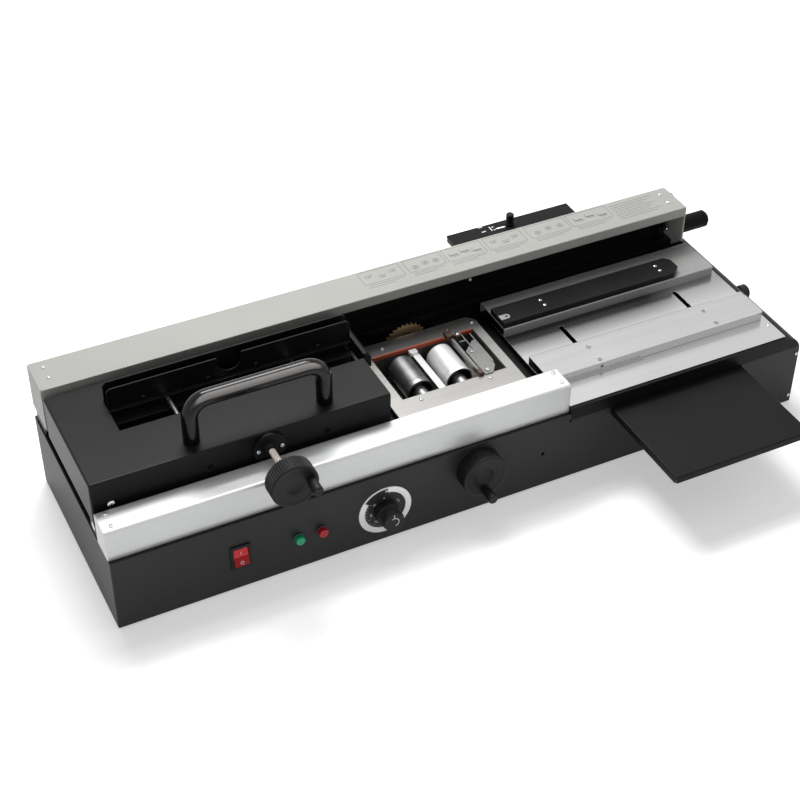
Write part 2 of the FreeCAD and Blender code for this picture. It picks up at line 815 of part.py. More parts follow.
def gear_plate():
    left, right = rollers_x[0] - 17.5, rollers_x[1] + 17.5
    low = roller_z - 26
    outline = [(left + 10, low), (right - 28, low), (right, roller_z - 18), (right, ledge_top - 2),
               (left, ledge_top - 2), (left, roller_z - 22)]
    plate = prism("y", outline, gear_plate_front, ledge_front)
    boss = rod("y", arbor_x, roller_z, sprocket_front + sprocket_thickness + gear_gap, gear_plate_front, 9.0)
    bore = rod("y", arbor_x, roller_z, 0, base_depth, roller_shaft_radius + running_fit)
    return joined([plate, boss]).cut(bore)


def pan_screws():
    """Every bright pan-head screw of the fixed machine body."""
    heads = [screw_head("y", station_left - 3, (ledge_top + rear_rail_z) / 2 - 3, ledge_rear, -1, 2.8, 1.6)]
    for group in (end_cover_screws, front_beam_screws, rear_beam_screws, table_screws,
                  nip_bar_screws, pot_screws, bridge_screws):
        heads += group()
    return Part.makeCompound(heads)


def dial_bezel():
    face = ring("y", dial_x, dial_z, -1.6, 0, dial_ring_radius, dial_plate_radius)
    angle = math.radians(140)
    middle = (dial_ring_radius + dial_plate_radius) / 2
    notch = rod("y", dial_x + middle * math.cos(angle), dial_z + middle * math.sin(angle), -3, 1, 2.2)
    return face.cut(notch)


def dial_plate():
    return ring("y", dial_x, dial_z, -1.0, 0, dial_plate_radius - 0.1, dial_shaft_radius + 1)


def dial_knob():
    """Ten-sided skirt under a tapered round grip with a pointer rib."""
    outline = []
    for side in range(10):
        angle = math.radians(36 * side + 18)
        outline.append((dial_x + dial_knob_radius * math.cos(angle), dial_z + dial_knob_radius * math.sin(angle)))
    skirt = prism("y", outline, -11, -1.3)
    grip = cone("y", dial_x, dial_z, -dial_knob_reach, -11, 12.2, 13.2)
    rib = box(dial_x - 1.2, dial_x + 1.2, -dial_knob_reach - 0.8, -dial_knob_reach + 2, dial_z, dial_z + 11)
    shaft = rod("y", dial_x, dial_z, -1.3, sheet + 20, dial_shaft_radius)
    return joined([skirt, grip, rib, shaft])


def rocker_housing():
    x0, x1 = rocker_x - rocker_width / 2, rocker_x + rocker_width / 2
    z0, z1 = rocker_z - rocker_height / 2, rocker_z + rocker_height / 2
    flange = box(x0, x1, -2, 0, z0, z1)
    flange = flange.makeFillet(1.5, edges_at(flange, "y", x=[x0, x1]))
    body = box(x0 + 2.3, x1 - 2.3, 0, 22, z0 + 2.8, z1 - 2.8)
    well = box(x0 + 3.3, x1 - 3.3, -3, 14, z0 + 4, z1 - 4)
    return joined([flange, body]).cut(well)


def rocker_switch():
    """Two-slope paddle, pressed in at its upper half."""
    half = rocker_height / 2 - 5.4
    outline = [(-5.2, -half), (-1.6, 0), (-0.4, half), (4.5, half), (7.5, 0), (4.5, -half)]
    shifted = [(y, rocker_z + z) for y, z in outline]
    left, right = rocker_x - rocker_width / 2 + 3.6, rocker_x + rocker_width / 2 - 3.6
    return prism("x", shifted, left, right)


def lamp(x):
    """Faceted lens on a round neck behind the panel."""
    outline = []
    for side in range(12):
        angle = math.radians(30 * side + 15)
        outline.append((x + lamp_radius * math.cos(angle), lamp_z + lamp_radius * math.sin(angle)))
    lens = prism("y", outline, -lamp_reach, 0)
    dome = cone("y", x, lamp_z, -lamp_reach, -2.5, lamp_radius * 0.45, lamp_radius * 1.05)
    flange = rod("y", x, lamp_z, -2.5, 0, lamp_radius * 1.05)
    neck = rod("y", x, lamp_z, 0, 18, lamp_radius - 2 - running_fit)
    return joined([lens.common(joined([dome, flange])), neck])


def lamp_green():
    return lamp(lamp_first_x)


def lamp_red():
    return lamp(lamp_first_x + lamp_spacing)


def inlet_opening(extra):
    return box(inlet_x - 14 - extra, inlet_x + 14 + extra, base_depth - 25, base_depth + 5,
               inlet_z - 10 - extra, inlet_z + 10 + extra)


def power_inlet():
    x, z = inlet_x, inlet_z
    flange = box(x - 24, x + 24, base_depth, base_depth + 2.5, z - 14, z + 14)
    flange = flange.makeFillet(3.0, edges_at(flange, "y", x=[x - 24, x + 24]))
    body = box(x - 14, x + 14, base_depth - 20, base_depth, z - 10, z + 10)
    well = box(x - 12, x + 12, base_depth - 15, base_depth + 4, z - 8, z + 8)
    pins = []
    for across, up in ((-7, -2), (7, -2), (0, 3)):
        pins.append(box(x + across - 1, x + across + 1, base_depth - 16, base_depth - 1, z + up - 2.5, z + up + 2.5))
    return joined([joined([flange, body]).cut(well)] + pins)


def tray(left, width, front, rear, inner_end):
    """Folded sheet tray with lips on the sides and at its outer end."""
    right = left + width
    body = box(left, right, front, rear, tray_bottom, tray_top)
    outer = front if inner_end == rear else rear
    body = body.makeFillet(1.4, edges_at(body, "y", z=[tray_top]) + edges_at(body, "x", y=[outer], z=[tray_top]))
    low, high = (front + sheet, rear + 1) if outer == front else (front - 1, rear - sheet)
    room = box(left + sheet, right - sheet, low, high, tray_bottom - 1, tray_top - sheet)
    reliefs = []
    for x in (left, right):
        reliefs.append(rod("z", x, outer, tray_bottom - 1, tray_top - sheet - 1.0, 2.2))
    return cut_all(body, [room] + reliefs)


def cover_tray():
    return tray(front_tray_left, front_tray_width, -tray_reach, tray_tail, tray_tail)


def rear_tray():
    rear = base_depth + tray_reach
    front = base_depth - tray_tail
    body = tray(rear_tray_left, rear_tray_width, front, rear, front)
    half = gauge_slot_width / 2
    right = gauge_slot_left + gauge_slot_length
    slot = [box(gauge_slot_left + half, right - half, gauge_y - half, gauge_y + half, 0, tray_top + 1)]
    for x in (gauge_slot_left + half, right - half):
        slot.append(rod("z", x, gauge_y, 0, tray_top + 1, half))
    return cut_all(body, slot)


def gauge_x():
    return gauge_slot_left + gauge_slot_length - gauge_slot_width / 2 - sliding_gap


def gauge_slider():
    under = tray_top - sheet - sliding_gap
    shoe = box(gauge_x() - 6, gauge_x() + 6, gauge_y - 6, gauge_y + 6, under - 3, under)
    stud = rod("z", gauge_x(), gauge_y, under - 3, tray_top + 9, gauge_slot_width / 2 - sliding_gap)
    return joined([shoe, stud])


def gauge_knob():
    low = tray_top + sliding_gap
    top = low + gauge_knob_height
    collar = rod("z", gauge_x(), gauge_y, low, low + 4, gauge_knob_radius + 1)
    grip = rod("z", gauge_x(), gauge_y, low + 4, top, gauge_knob_radius)
    edges = [e for e in grip.Edges if abs(e.CenterOfMass.z - top) < 0.01]
    grip = grip.makeChamfer(1.2, edges)
    bore = rod("z", gauge_x(), gauge_y, 0, tray_top + 9.3, gauge_slot_width / 2 - sliding_gap + running_fit)
    return joined([collar, grip]).cut(bore)


def end_knob():
    knob = rod("x", end_knob_y, end_knob_z, base_length + sliding_gap, base_length + end_knob_reach,
               end_knob_radius)
    edges = [e for e in knob.Edges if abs(e.CenterOfMass.x - base_length - end_knob_reach) < 0.01]
    knob = knob.makeChamfer(2.0, edges)
    shaft = rod("x", end_knob_y, end_knob_z, shell_right - sheet - 8, base_length + sliding_gap, 3)
    return joined([knob, shaft])


def carriage_shell():
    right = mouth_right + right_cheek_width
    wall = carriage_wall
    outer = [
        box(0, carriage_length, carriage_front, carriage_split, carriage_skirt_bottom, carriage_top),
        box(0, mouth_left, carriage_front, carriage_rear, carriage_cheek_bottom, carriage_top),
        box(0, right, carriage_split, carriage_rear, right_cheek_bottom, carriage_top),
    ]
    cheek = prism("y", [(right - 5.6, carriage_top), (right, carriage_top - 7), (right + 1, carriage_top + 1)],
                  0, carriage_rear + 1)
    body = joined(outer).cut(cheek)
    body = body.cut(box(carriage_length, right + 1, 0, right_cheek_front, 0, carriage_top + 1))
    front_edges = edges_at(body, "x", y=[carriage_front], z=[carriage_top])
    left_edges = edges_at(body, "y", x=[0], z=[carriage_top])
    corner = edges_at(body, "z", x=[0], y=[carriage_front])
    body = body.makeFillet(carriage_edge_radius, front_edges + left_edges + corner)
    rooms = [
        box(wall, carriage_length - wall, carriage_front + wall, carriage_split + 1, 0, under_top),
        box(wall, mouth_left - wall, carriage_front + wall, carriage_rear - wall, 0, under_top),
        box(mouth_left - wall - 1, mouth_right + wall, carriage_split, rear_face + jaw_plate + 1, 0, under_top),
        box(mouth_left - wall - 1, right - wall, rear_face + jaw_plate, carriage_rear - wall, 0, under_top),
        box(mouth_left, mouth_right, carriage_split, rear_face + jaw_plate + 0.2, 0, carriage_top + 1),
        rod("y", clamp_x, clamp_z, 0, carriage_front + 5, clamp_screw_radius + 2),
    ]
    for x in (front_hole_x, front_hole_x + front_hole_spacing):
        rooms.append(rod("y", x, deck_height + front_hole_rise, 0, carriage_front + 5, front_hole_radius))
    return cut_all(body, rooms)


def carriage_handle():
    """Bent round bar standing on two legs."""
    top = carriage_top + handle_rise
    first, last = handle_x, handle_x + handle_spacing
    pieces = [rod("x", handle_y, top, first + handle_bend, last - handle_bend, handle_radius)]
    for x, side in ((first, 1), (last, -1)):
        pieces.append(rod("z", x, handle_y, carriage_top, top - handle_bend, handle_radius))
        disc = Part.Face(Part.Wire([Part.Circle(V(x, handle_y, top - handle_bend), V(0, 0, 1),
                                                handle_radius).toShape()]))
        centre = V(x + side * handle_bend, handle_y, top - handle_bend)
        pieces.append(disc.revolve(centre, V(0, 1, 0), 90 * side))
    return joined(pieces)


def rear_jaw():
    plate = box(jaw_left, jaw_right, rear_face, rear_face + jaw_plate, jaw_bottom, jaw_top)
    plate = plate.makeChamfer(jaw_corner, edges_at(plate, "y", z=[jaw_top]))
    bar = box(jaw_left, jaw_right, rear_face + jaw_plate, rear_face + jaw_plate + jaw_bar_depth,
              jaw_bottom, under_top)
    bar = bar.makeChamfer(1.0, edges_at(bar, "x", z=[jaw_bottom]))
    return joined([plate, bar])


def guide_tubes():
    tubes = []
    front = carriage_front + carriage_wall
    for x in guides_x:
        tubes.append(ring("y", x, guide_z, front, guide_tube_end, guide_tube_radius, guide_radius + running_fit))
    return Part.makeCompound(tubes)


def clamp_flange():
    front = carriage_front - clamp_flange_thickness
    disc = rod("y", clamp_x, clamp_z, front, carriage_front, clamp_flange_radius)
    hub = cone("y", clamp_x, clamp_z, front - 5, front, clamp_hub_radius - 1.5, clamp_hub_radius)
    nut = rod("y", clamp_x, clamp_z, carriage_front, carriage_front + 5, clamp_screw_radius + 1.8)
    bore = rod("y", clamp_x, clamp_z, 0, carriage_front + 9, clamp_screw_radius + running_fit)
    return joined([disc, hub, nut]).cut(bore)


def carriage_screws():
    heads = [screw_head("y", side_screw_x, deck_height + side_screw_rise, carriage_front, -1, 5.0, 2.4)]
    reach = (clamp_flange_radius + clamp_hub_radius) / 2
    for side in (-1, 1):
        heads.append(screw_head("y", clamp_x + side * reach, clamp_z,
                                carriage_front - clamp_flange_thickness, -1, 2.8, 1.6))
    return Part.makeCompound(heads)


def rear_bearings():
    blocks = []
    low = rear_rail_z - rear_rail_radius - 7
    top = rear_rail_z + rear_rail_radius + 5
    lip = rear_beam_top - rear_beam_lip - 4
    knee = rear_beam_front + rear_beam_wall + 3.5
    rear = rear_rail_y + rear_rail_radius + 5
    outline = [(carriage_rear, low), (rear, low), (rear, top), (knee, top), (knee, lip), (carriage_rear, lip)]
    for left in (bearing_left_inset, carriage_length - bearing_right_inset - bearing_length):
        right = left + bearing_length
        block = prism("x", outline, left, right)
        blocks.append(block.cut(rod("x", rear_rail_y, rear_rail_z, left - 1, right + 1,
                                    rear_rail_radius + running_fit)))
    return blocks


def front_bearing():
    front = carriage_front + carriage_wall
    left, right = front_bearing_left, front_bearing_left + front_bearing_length
    block = box(left, right, front, front_rail_y + front_rail_radius + 4, front_rail_z - front_rail_radius - 3,
                carriage_cheek_bottom + 16)
    bore = rod("x", front_rail_y, front_rail_z, left - 1, right + 1, front_rail_radius + running_fit)
    return block.cut(bore)


def carriage_bearings():
    return Part.makeCompound(rear_bearings() + [front_bearing()])


def front_jaw_bar():
    right = min(jaw_right, carriage_length - carriage_wall - 1.5)
    bar = box(jaw_left, right, bar_front, jaw_back, jaw_bottom, jaw_bottom + jaw_bar_height)
    bar = bar.makeChamfer(1.0, edges_at(bar, "x", z=[jaw_bottom]))
    return bar.cut(rod("y", clamp_x, clamp_z, bar_front - 1, bar_front + 8, clamp_screw_radius + running_fit))


def front_jaw_plate():
    """Tall pressure plate with a thumb notch and a folded lip along its back."""
    plate = box(jaw_left, jaw_right, jaw_back, jaw_face, jaw_bottom, jaw_top)
    plate = plate.makeChamfer(jaw_corner, edges_at(plate, "y", z=[jaw_top]))
    radius = thumb_notch_width / 2
    centre = jaw_top - thumb_notch_depth + radius
    notch = rod("y", thumb_notch_x, centre, jaw_face - 5, jaw_face + 5, radius)
    mouth = box(thumb_notch_x - radius, thumb_notch_x + radius, jaw_face - 5, jaw_face + 5, centre, jaw_top + 1)
    lip = box(jaw_left, jaw_right, jaw_back - jaw_lip_depth, jaw_back, jaw_lip_top - jaw_plate, jaw_lip_top)
    lip = lip.makeChamfer(0.4, edges_at(lip, "x", y=[jaw_back - jaw_lip_depth], z=[jaw_lip_top]))
    return joined([cut_all(plate, [notch, mouth]), lip] + jaw_rivets())


def jaw_rivets():
    rivets = []
    z = jaw_lip_top + 5
    for share in (0.14, 0.40, 0.60, 0.86):
        rivets.append(tapered("y", jaw_left + share * jaw_length, z, jaw_back - 1.2, jaw_back, 1.6, 2.6, 8))
    return rivets


def jaw_guide_rods():
    rods = [rod("y", x, guide_z, guide_rod_front, jaw_back, guide_radius) for x in guides_x]
    return Part.makeCompound(rods)


def handwheel(x, z, rear, knob_x, knob_z, bore):
    """Fluted wheel with a dished face; its rear face lies at rear."""
    front = rear - wheel_width
    outline = []
    for flute in range(wheel_flutes):
        for share, radius in ((0.0, wheel_radius), (0.6, wheel_radius - flute_depth)):
            angle = 2 * math.pi * (flute + share) / wheel_flutes
            outline.append((x + radius * math.cos(angle), z + radius * math.sin(angle)))
    body = prism("y", outline, front, rear)
    dish = cone("y", x, z, front - 0.01, front + 3.5, wheel_radius - 4.5, wheel_radius - 6.5)
    dish = dish.cut(rod("y", x, z, front - 1, front + 4, 7.5))
    dish = dish.cut(rod("y", knob_x, knob_z, front - 1, front + 4, wheel_knob_radius + 1.5))
    holes = [dish, rod("y", x, z, front + 4, rear + 1, bore + running_fit),
             rod("y", knob_x, knob_z, front - 1, front + 10, 3 + running_fit)]
    return cut_all(body, holes)


def crank_knob(x, z, wheel_front):
    """Turned grip on its spindle, made as one revolved piece."""
    neck = wheel_front - sliding_gap
    length = wheel_knob_length
    r = wheel_knob_radius
    profile = [(0, 0), (r * 0.7, 0), (r * 0.7, -2.5), (r, -length * 0.5),
               (r * 0.94, -length + 2.4), (r * 0.6, -length), (0, -length)]
    points = [V(x + radius, neck + s, z) for radius, s in profile]
    face = Part.Face(Part.makePolygon(points + points[:1]))
    grip = face.revolve(V(x, neck, z), V(0, 1, 0), 360)
    return joined([grip, rod("y", x, z, neck, wheel_front + 9.5, 3)])


def clamp_screw():
    front = -clamp_wheel_standoff - wheel_width + 4.2
    return rod("y", clamp_x, clamp_z, front, bar_front + 7.7, clamp_screw_radius)


def clamp_knob_place():
    return clamp_x + 18, clamp_z + 3


def clamp_wheel():
    knob_x, knob_z = clamp_knob_place()
    return handwheel(clamp_x, clamp_z, -clamp_wheel_standoff, knob_x, knob_z, clamp_screw_radius)


def clamp_crank_knob():
    knob_x, knob_z = clamp_knob_place()
    return crank_knob(knob_x, knob_z, -clamp_wheel_standoff - wheel_width)


def glue_wheel():
    return handwheel(glue_wheel_x, glue_wheel_z, -1.0, glue_wheel_x - 0.5, glue_wheel_z - 18.5, crank_shaft_radius)


def glue_crank_knob():
    return crank_knob(glue_wheel_x - 0.5, glue_wheel_z - 18.5, -1.0 - wheel_width)


def crank_direction():
    return math.atan2(glue_wheel_z - roller_z, glue_wheel_x - arbor_x)


def crank_shaft():
    phase = mesh_phase(arbor_teeth, 0.0, crank_teeth, crank_direction())
    shaft = rod("y", glue_wheel_x, glue_wheel_z, -1.0 - wheel_width + 4.2, gear_rear, crank_shaft_radius)
    return joined([shaft, gear(glue_wheel_x, glue_wheel_z, crank_teeth, phase, gear_front, gear_rear)])


def glue_roller(side):
    x = rollers_x[side]
    direction = math.pi * (1 - side)
    phase = mesh_phase(arbor_teeth, 0.0, roller_teeth, direction)
    barrel = rod("y", x, roller_z, roller_front, roller_rear, roller_radius)
    ends = [e for e in barrel.Edges if abs(e.CenterOfMass.z - roller_z) < 0.01 and e.Curve.TypeId == "Part::GeomCircle"]
    barrel = barrel.makeChamfer(1.0, ends)
    collars = [rod("y", x, roller_z, pot_front + sliding_gap, roller_front, roller_hub_radius),
               rod("y", x, roller_z, roller_rear, roller_rear + 5, roller_hub_radius)]
    shaft = rod("y", x, roller_z, pot_front - pot_wall + 0.3, gear_rear, roller_shaft_radius)
    pinion = gear(x, roller_z, roller_teeth, phase, gear_front, gear_rear)
    return joined([barrel, shaft, pinion] + collars)


def glue_roller_left():
    return glue_roller(0)


def glue_roller_right():
    return glue_roller(1)


def drive_sprocket():
    """Toothed wheel that stands up beside the pot, with pointed teeth."""
    outline = []
    step = 2 * math.pi / sprocket_teeth
    for tooth in range(sprocket_teeth):
        for share, radius in ((0.0, sprocket_root), (0.2, sprocket_root), (0.6, sprocket_tip)):
            angle = (tooth + share) * step
            outline.append((arbor_x + radius * math.cos(angle), roller_z + radius * math.sin(angle)))
    disc = prism("y", outline, sprocket_front, sprocket_front + sprocket_thickness)
    return disc.cut(rod("y", arbor_x, roller_z, 0, base_depth, roller_shaft_radius + running_fit))


def sprocket_arbor():
    """Shaft, hub and gear that turn with the sprocket."""
    front = gear_front - gear_gap + 0.3
    shaft = rod("y", arbor_x, roller_z, front, ledge_front - 0.2, roller_shaft_radius)
    hub = rod("y", arbor_x, roller_z, gear_rear, sprocket_front - running_fit, 9.0)
    pinion = gear(arbor_x, roller_z, arbor_teeth, 0.0, gear_front, gear_rear)
    return joined([shaft, hub, pinion])


def front_nip_plate():
    rear = nip_plate_front + nip_plate_depth
    plate = channel(table_left, nip_right, nip_plate_front, rear, nip_bottom, nip_top, 2.0)
    holes = [rod("y", slots_x[0], nip_bottom + 6, nip_plate_front - 1, nip_plate_front + 3, 2.0)]
    for x in slots_x:
        holes += [rod("z", x, y, nip_top - 3, nip_top + 1, plate_hole_radius) for y in pins_y]
    return cut_all(plate, holes)


def nip_shoes():
    """Guide pins through the table slots, joined in pairs by a shoe under the frame.

    Each pin ends in a collar under the nip plate, with a socket below the plate's hole.
    """
    under = station_height - sheet - sliding_gap
    shoes = []
    for x in slots_x:
        pieces = [box(x - 7, x + 7, pins_y[0] - 2, pins_y[1] + 8, under - 4, under)]
        sockets = []
        for y in pins_y:
            pieces.append(tapered("z", x, y, under - 1, nip_top - 6, slot_width / 2 - 0.1, slot_width / 2 - 0.1, 12))
            pieces.append(tapered("z", x, y, nip_top - 6, nip_top - 2, pin_collar_radius, pin_collar_radius, 12))
            sockets.append(tapered("z", x, y, nip_top - 5, nip_top - 1, 2.0, 2.0, 6))
        shoes.append(cut_all(joined(pieces), sockets))
    return Part.makeCompound(shoes)


def nip_lever():
    """Side arm on its pivot pin, with a round grip rod parallel to the pin."""
    grip_y, grip_z = lever_pivot_y - lever_forward, lever_pivot_z - lever_drop
    length = math.hypot(lever_forward, lever_drop)
    ux, uz = -lever_forward / length, -lever_drop / length
    half = 7.0
    outline = [(lever_pivot_y - uz * half, lever_pivot_z + ux * half),
               (lever_pivot_y + uz * half, lever_pivot_z - ux * half),
               (grip_y + uz * half, grip_z - ux * half),
               (grip_y - uz * half, grip_z + ux * half)]
    right = lever_x + lever_arm_thickness
    arm = [prism("x", outline, lever_x, right), rod("x", lever_pivot_y, lever_pivot_z, lever_x, right, 9.0)]
    pin = rod("x", lever_pivot_y, lever_pivot_z, rear_beam_right - 1.5, lever_x, lever_pivot_radius)
    grip = rod("x", grip_y, grip_z, lever_x, lever_x + lever_grip_length, lever_grip_radius)
    tip = [e for e in grip.Edges if abs(e.CenterOfMass.x - lever_x - lever_grip_length) < 0.01]
    grip = grip.makeChamfer(3.5, tip)
    return joined(arm + [pin, grip])


pieces = [
    base_shell, rubber_feet, deck_plate, nip_frame, end_cover, rear_housing, front_beam, rear_beam,
    beam_end_plates, rails, rail_brackets, pan_screws, nip_table, rear_nip_plate, nip_bar,
    glue_pot, pot_frame, pot_plate, pot_gasket, pot_divider, blade_bridge, blade_pivots, gear_plate,
    dial_bezel, dial_plate, dial_knob, rocker_housing, rocker_switch, lamp_green, lamp_red, power_inlet,
    cover_tray, rear_tray, gauge_slider, gauge_knob, end_knob, nip_lever,
    carriage_shell, carriage_screws, carriage_handle, carriage_bearings, rear_jaw, guide_tubes,
    clamp_flange, front_jaw_bar, front_jaw_plate, jaw_guide_rods, clamp_screw, clamp_wheel,
    clamp_crank_knob, glue_wheel, glue_crank_knob, crank_shaft, glue_roller_left, glue_roller_right,
    drive_sprocket, sprocket_arbor, front_nip_plate, nip_shoes,
]

os.makedirs("parts", exist_ok=True)
for piece in pieces:
    save(piece.__name__, piece())
print(len(pieces), "pieces written")
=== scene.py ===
import bpy
import bmesh
import math
from mathutils import Matrix, Vector


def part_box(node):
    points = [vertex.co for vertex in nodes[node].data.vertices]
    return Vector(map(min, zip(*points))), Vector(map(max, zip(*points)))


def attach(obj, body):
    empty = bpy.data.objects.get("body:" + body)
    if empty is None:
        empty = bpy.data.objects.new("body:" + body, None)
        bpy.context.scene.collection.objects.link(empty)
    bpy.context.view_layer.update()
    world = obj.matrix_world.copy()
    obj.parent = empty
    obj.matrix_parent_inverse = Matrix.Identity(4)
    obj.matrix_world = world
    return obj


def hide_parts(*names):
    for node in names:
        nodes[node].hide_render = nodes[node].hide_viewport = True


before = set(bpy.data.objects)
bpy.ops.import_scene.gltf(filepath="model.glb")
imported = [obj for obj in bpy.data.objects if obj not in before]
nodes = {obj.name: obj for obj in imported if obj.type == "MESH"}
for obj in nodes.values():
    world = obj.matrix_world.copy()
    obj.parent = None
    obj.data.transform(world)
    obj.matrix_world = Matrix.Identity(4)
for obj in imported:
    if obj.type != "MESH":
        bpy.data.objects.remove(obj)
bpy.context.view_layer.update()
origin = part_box("base_shell")[0]  # left end, front panel, underside of the base
print("frame loaded:", len(nodes), "nodes")


def at(x, y, z):  # machine millimetres to metres in the frame
    return origin + Vector((x, y, z)) * 0.001


def middle(node):
    low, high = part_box(node)
    return (low + high) / 2


# node groups
def newGroup(name, inputs, outputs):
    group = bpy.data.node_groups.new(name, "ShaderNodeTree")
    for label, kind, value in inputs:
        socket = group.interface.new_socket(label, in_out="INPUT", socket_type="NodeSocket" + kind)
        if value is not None:
            socket.default_value = value
    for label, kind in outputs:
        group.interface.new_socket(label, in_out="OUTPUT", socket_type="NodeSocket" + kind)
    return group, group.nodes.new("NodeGroupInput"), group.nodes.new("NodeGroupOutput")


def addNode(tree, kind, links=(), **settings):
    node = tree.nodes.new("ShaderNode" + kind)
    for key, value in settings.items():
        setattr(node, key, value)
    for socket, value in links:
        target = node.inputs[socket]
        if isinstance(value, bpy.types.NodeSocket):
            tree.links.new(value, target)
        else:
            target.default_value = value
    return node


def noise(tree, vector, scale, detail=3.0, roughness=0.5):
    links = [("Vector", vector), ("Scale", scale), ("Detail", detail), ("Roughness", roughness)]
    return addNode(tree, "TexNoise", links).outputs["Fac"]


def spread(tree, value, low, high, outLow=0.0, outHigh=1.0):
    return addNode(tree, "MapRange", [("Value", value), ("From Min", low), ("From Max", high),
                                      ("To Min", outLow), ("To Max", outHigh)]).outputs["Result"]


def sums(tree, operation, a, b):
    return addNode(tree, "Math", [(0, a), (1, b)], operation=operation).outputs[0]


def times(tree, a, b):
    return sums(tree, "MULTIPLY", a, b)


def blend(tree, a, shareA, b, shareB):
    return sums(tree, "ADD", times(tree, a, shareA), times(tree, b, shareB))


grainLook = {"coarseScale": 0.35, "fineShare": 0.6, "coarseShare": 0.4, "cloudScale": 9.0, "cloud": (0.3, 0.7)}
brushedLook = {"lineRoughness": 0.65, "lineShare": 0.65, "broadScale": 0.12, "broadShare": 0.35}
edgeWearAndHighlightLook = {"samples": 4, "facing": (0.995, 0.86), "patchScale": 260.0, "patches": (0.35, 0.6)}
dustLook = {"colour": (0.42, 0.41, 0.39), "facing": (0.5, 1.0), "patchScale": 14.0, "patches": (0.42, 0.75),
            "speckScale": 900.0, "specks": (0.62, 0.75), "speckShare": 0.5}


def buildFineGrain():  # powder coat and moulded plastic: fine bumps with a slow cloudiness
    look = grainLook
    group, start, end = newGroup("fineGrain", [("Vector", "Vector", None), ("Scale", "Float", 1500.0)],
                                 [("Height", "Float"), ("Cloud", "Float")])
    vector, scale = start.outputs["Vector"], start.outputs["Scale"]
    fine = noise(group, vector, scale, 2.0)
    coarse = noise(group, vector, times(group, scale, look["coarseScale"]), 2.0)
    group.links.new(blend(group, fine, look["fineShare"], coarse, look["coarseShare"]), end.inputs["Height"])
    cloud = noise(group, vector, look["cloudScale"], 4.0)
    group.links.new(spread(group, cloud, *look["cloud"]), end.inputs["Cloud"])
    return group


def buildBrushedLines():  # lines that run along the axis with the smallest stretch
    look = brushedLook
    group, start, end = newGroup("brushedLines", [("Vector", "Vector", None)], [("Height", "Float"), ("Tone", "Float")])
    lines = noise(group, start.outputs["Vector"], 1.0, 4.0, look["lineRoughness"])
    broad = noise(group, start.outputs["Vector"], look["broadScale"], 2.0)
    group.links.new(lines, end.inputs["Height"])
    group.links.new(blend(group, lines, look["lineShare"], broad, look["broadShare"]), end.inputs["Tone"])
    return group


def buildEdgeWearAndHighlight():  # rounded normal and a mask along the edges, which lightens them: partly rubbed-off paint, partly a painted highlight
    look = edgeWearAndHighlightLook
    group, start, end = newGroup("edgeWearAndHighlight", [("Radius", "Float", 0.0006), ("Vector", "Vector", None)],
                                 [("Normal", "Vector"), ("Mask", "Float")])
    bevel = addNode(group, "Bevel", [("Radius", start.outputs["Radius"])], samples=look["samples"])
    facing = facingTowards(group, bevel.outputs[0])
    broken = spread(group, noise(group, start.outputs["Vector"], look["patchScale"]), *look["patches"])
    group.links.new(bevel.outputs[0], end.inputs["Normal"])
    group.links.new(times(group, spread(group, facing, *look["facing"]), broken), end.inputs["Mask"])
    return group


def facingTowards(tree, direction):  # how far the surface faces a direction
    links = [(0, direction), (1, addNode(tree, "NewGeometry").outputs["Normal"])]
    return addNode(tree, "VectorMath", links, operation="DOT_PRODUCT").outputs["Value"]


def buildDustFilm():  # a faint film on what faces up
    look = dustLook
    group, start, end = newGroup("dustFilm", [("Vector", "Vector", None)], [("Mask", "Float")])
    vector = start.outputs["Vector"]
    up = addNode(group, "SeparateXYZ", [(0, addNode(group, "NewGeometry").outputs["Normal"])]).outputs["Z"]
    patches = spread(group, noise(group, vector, look["patchScale"], 6.0, 0.6), *look["patches"])
    specks = spread(group, noise(group, vector, look["speckScale"], 1.0), *look["specks"])
    dust = sums(group, "ADD", patches, times(group, specks, look["speckShare"]))
    group.links.new(times(group, spread(group, up, *look["facing"]), dust), end.inputs["Mask"])
    return group


groups = {"fineGrain": buildFineGrain(), "brushedLines": buildBrushedLines(),
          "edgeWearAndHighlight": buildEdgeWearAndHighlight(), "dustFilm": buildDustFilm()}
print("node groups built")


# materials
toneRange = (0.3, 0.7)  # the part of a noise that its tones and roughness spread over


def useGroup(tree, name, links):
    return addNode(tree, "Group", links, node_tree=groups[name]).outputs


def asColour(value):
    return value if isinstance(value, bpy.types.NodeSocket) else (*value, 1.0)


def grey(value):
    return (value, value, value)


def mixColour(tree, factor, a, b):
    return addNode(tree, "Mix", [(0, factor), (6, asColour(a)), (7, asColour(b))], data_type="RGBA").outputs[2]


def newMaterial(name, constants):
    material = bpy.data.materials.new(name)
    material.use_nodes = True
    tree = material.node_tree
    shader = tree.nodes["Principled BSDF"]
    for key, value in constants.items():
        shader.inputs[key].default_value = (*value, 1.0) if isinstance(value, tuple) else value
    coordinates = addNode(tree, "TexCoord").outputs["Object"]
    return material, tree, shader, coordinates


def addBump(tree, shader, height, normal, strength, depth):
    links = [("Height", height), ("Normal", normal), ("Strength", strength), ("Distance", depth)]
    tree.links.new(addNode(tree, "Bump", links).outputs[0], shader.inputs["Normal"])


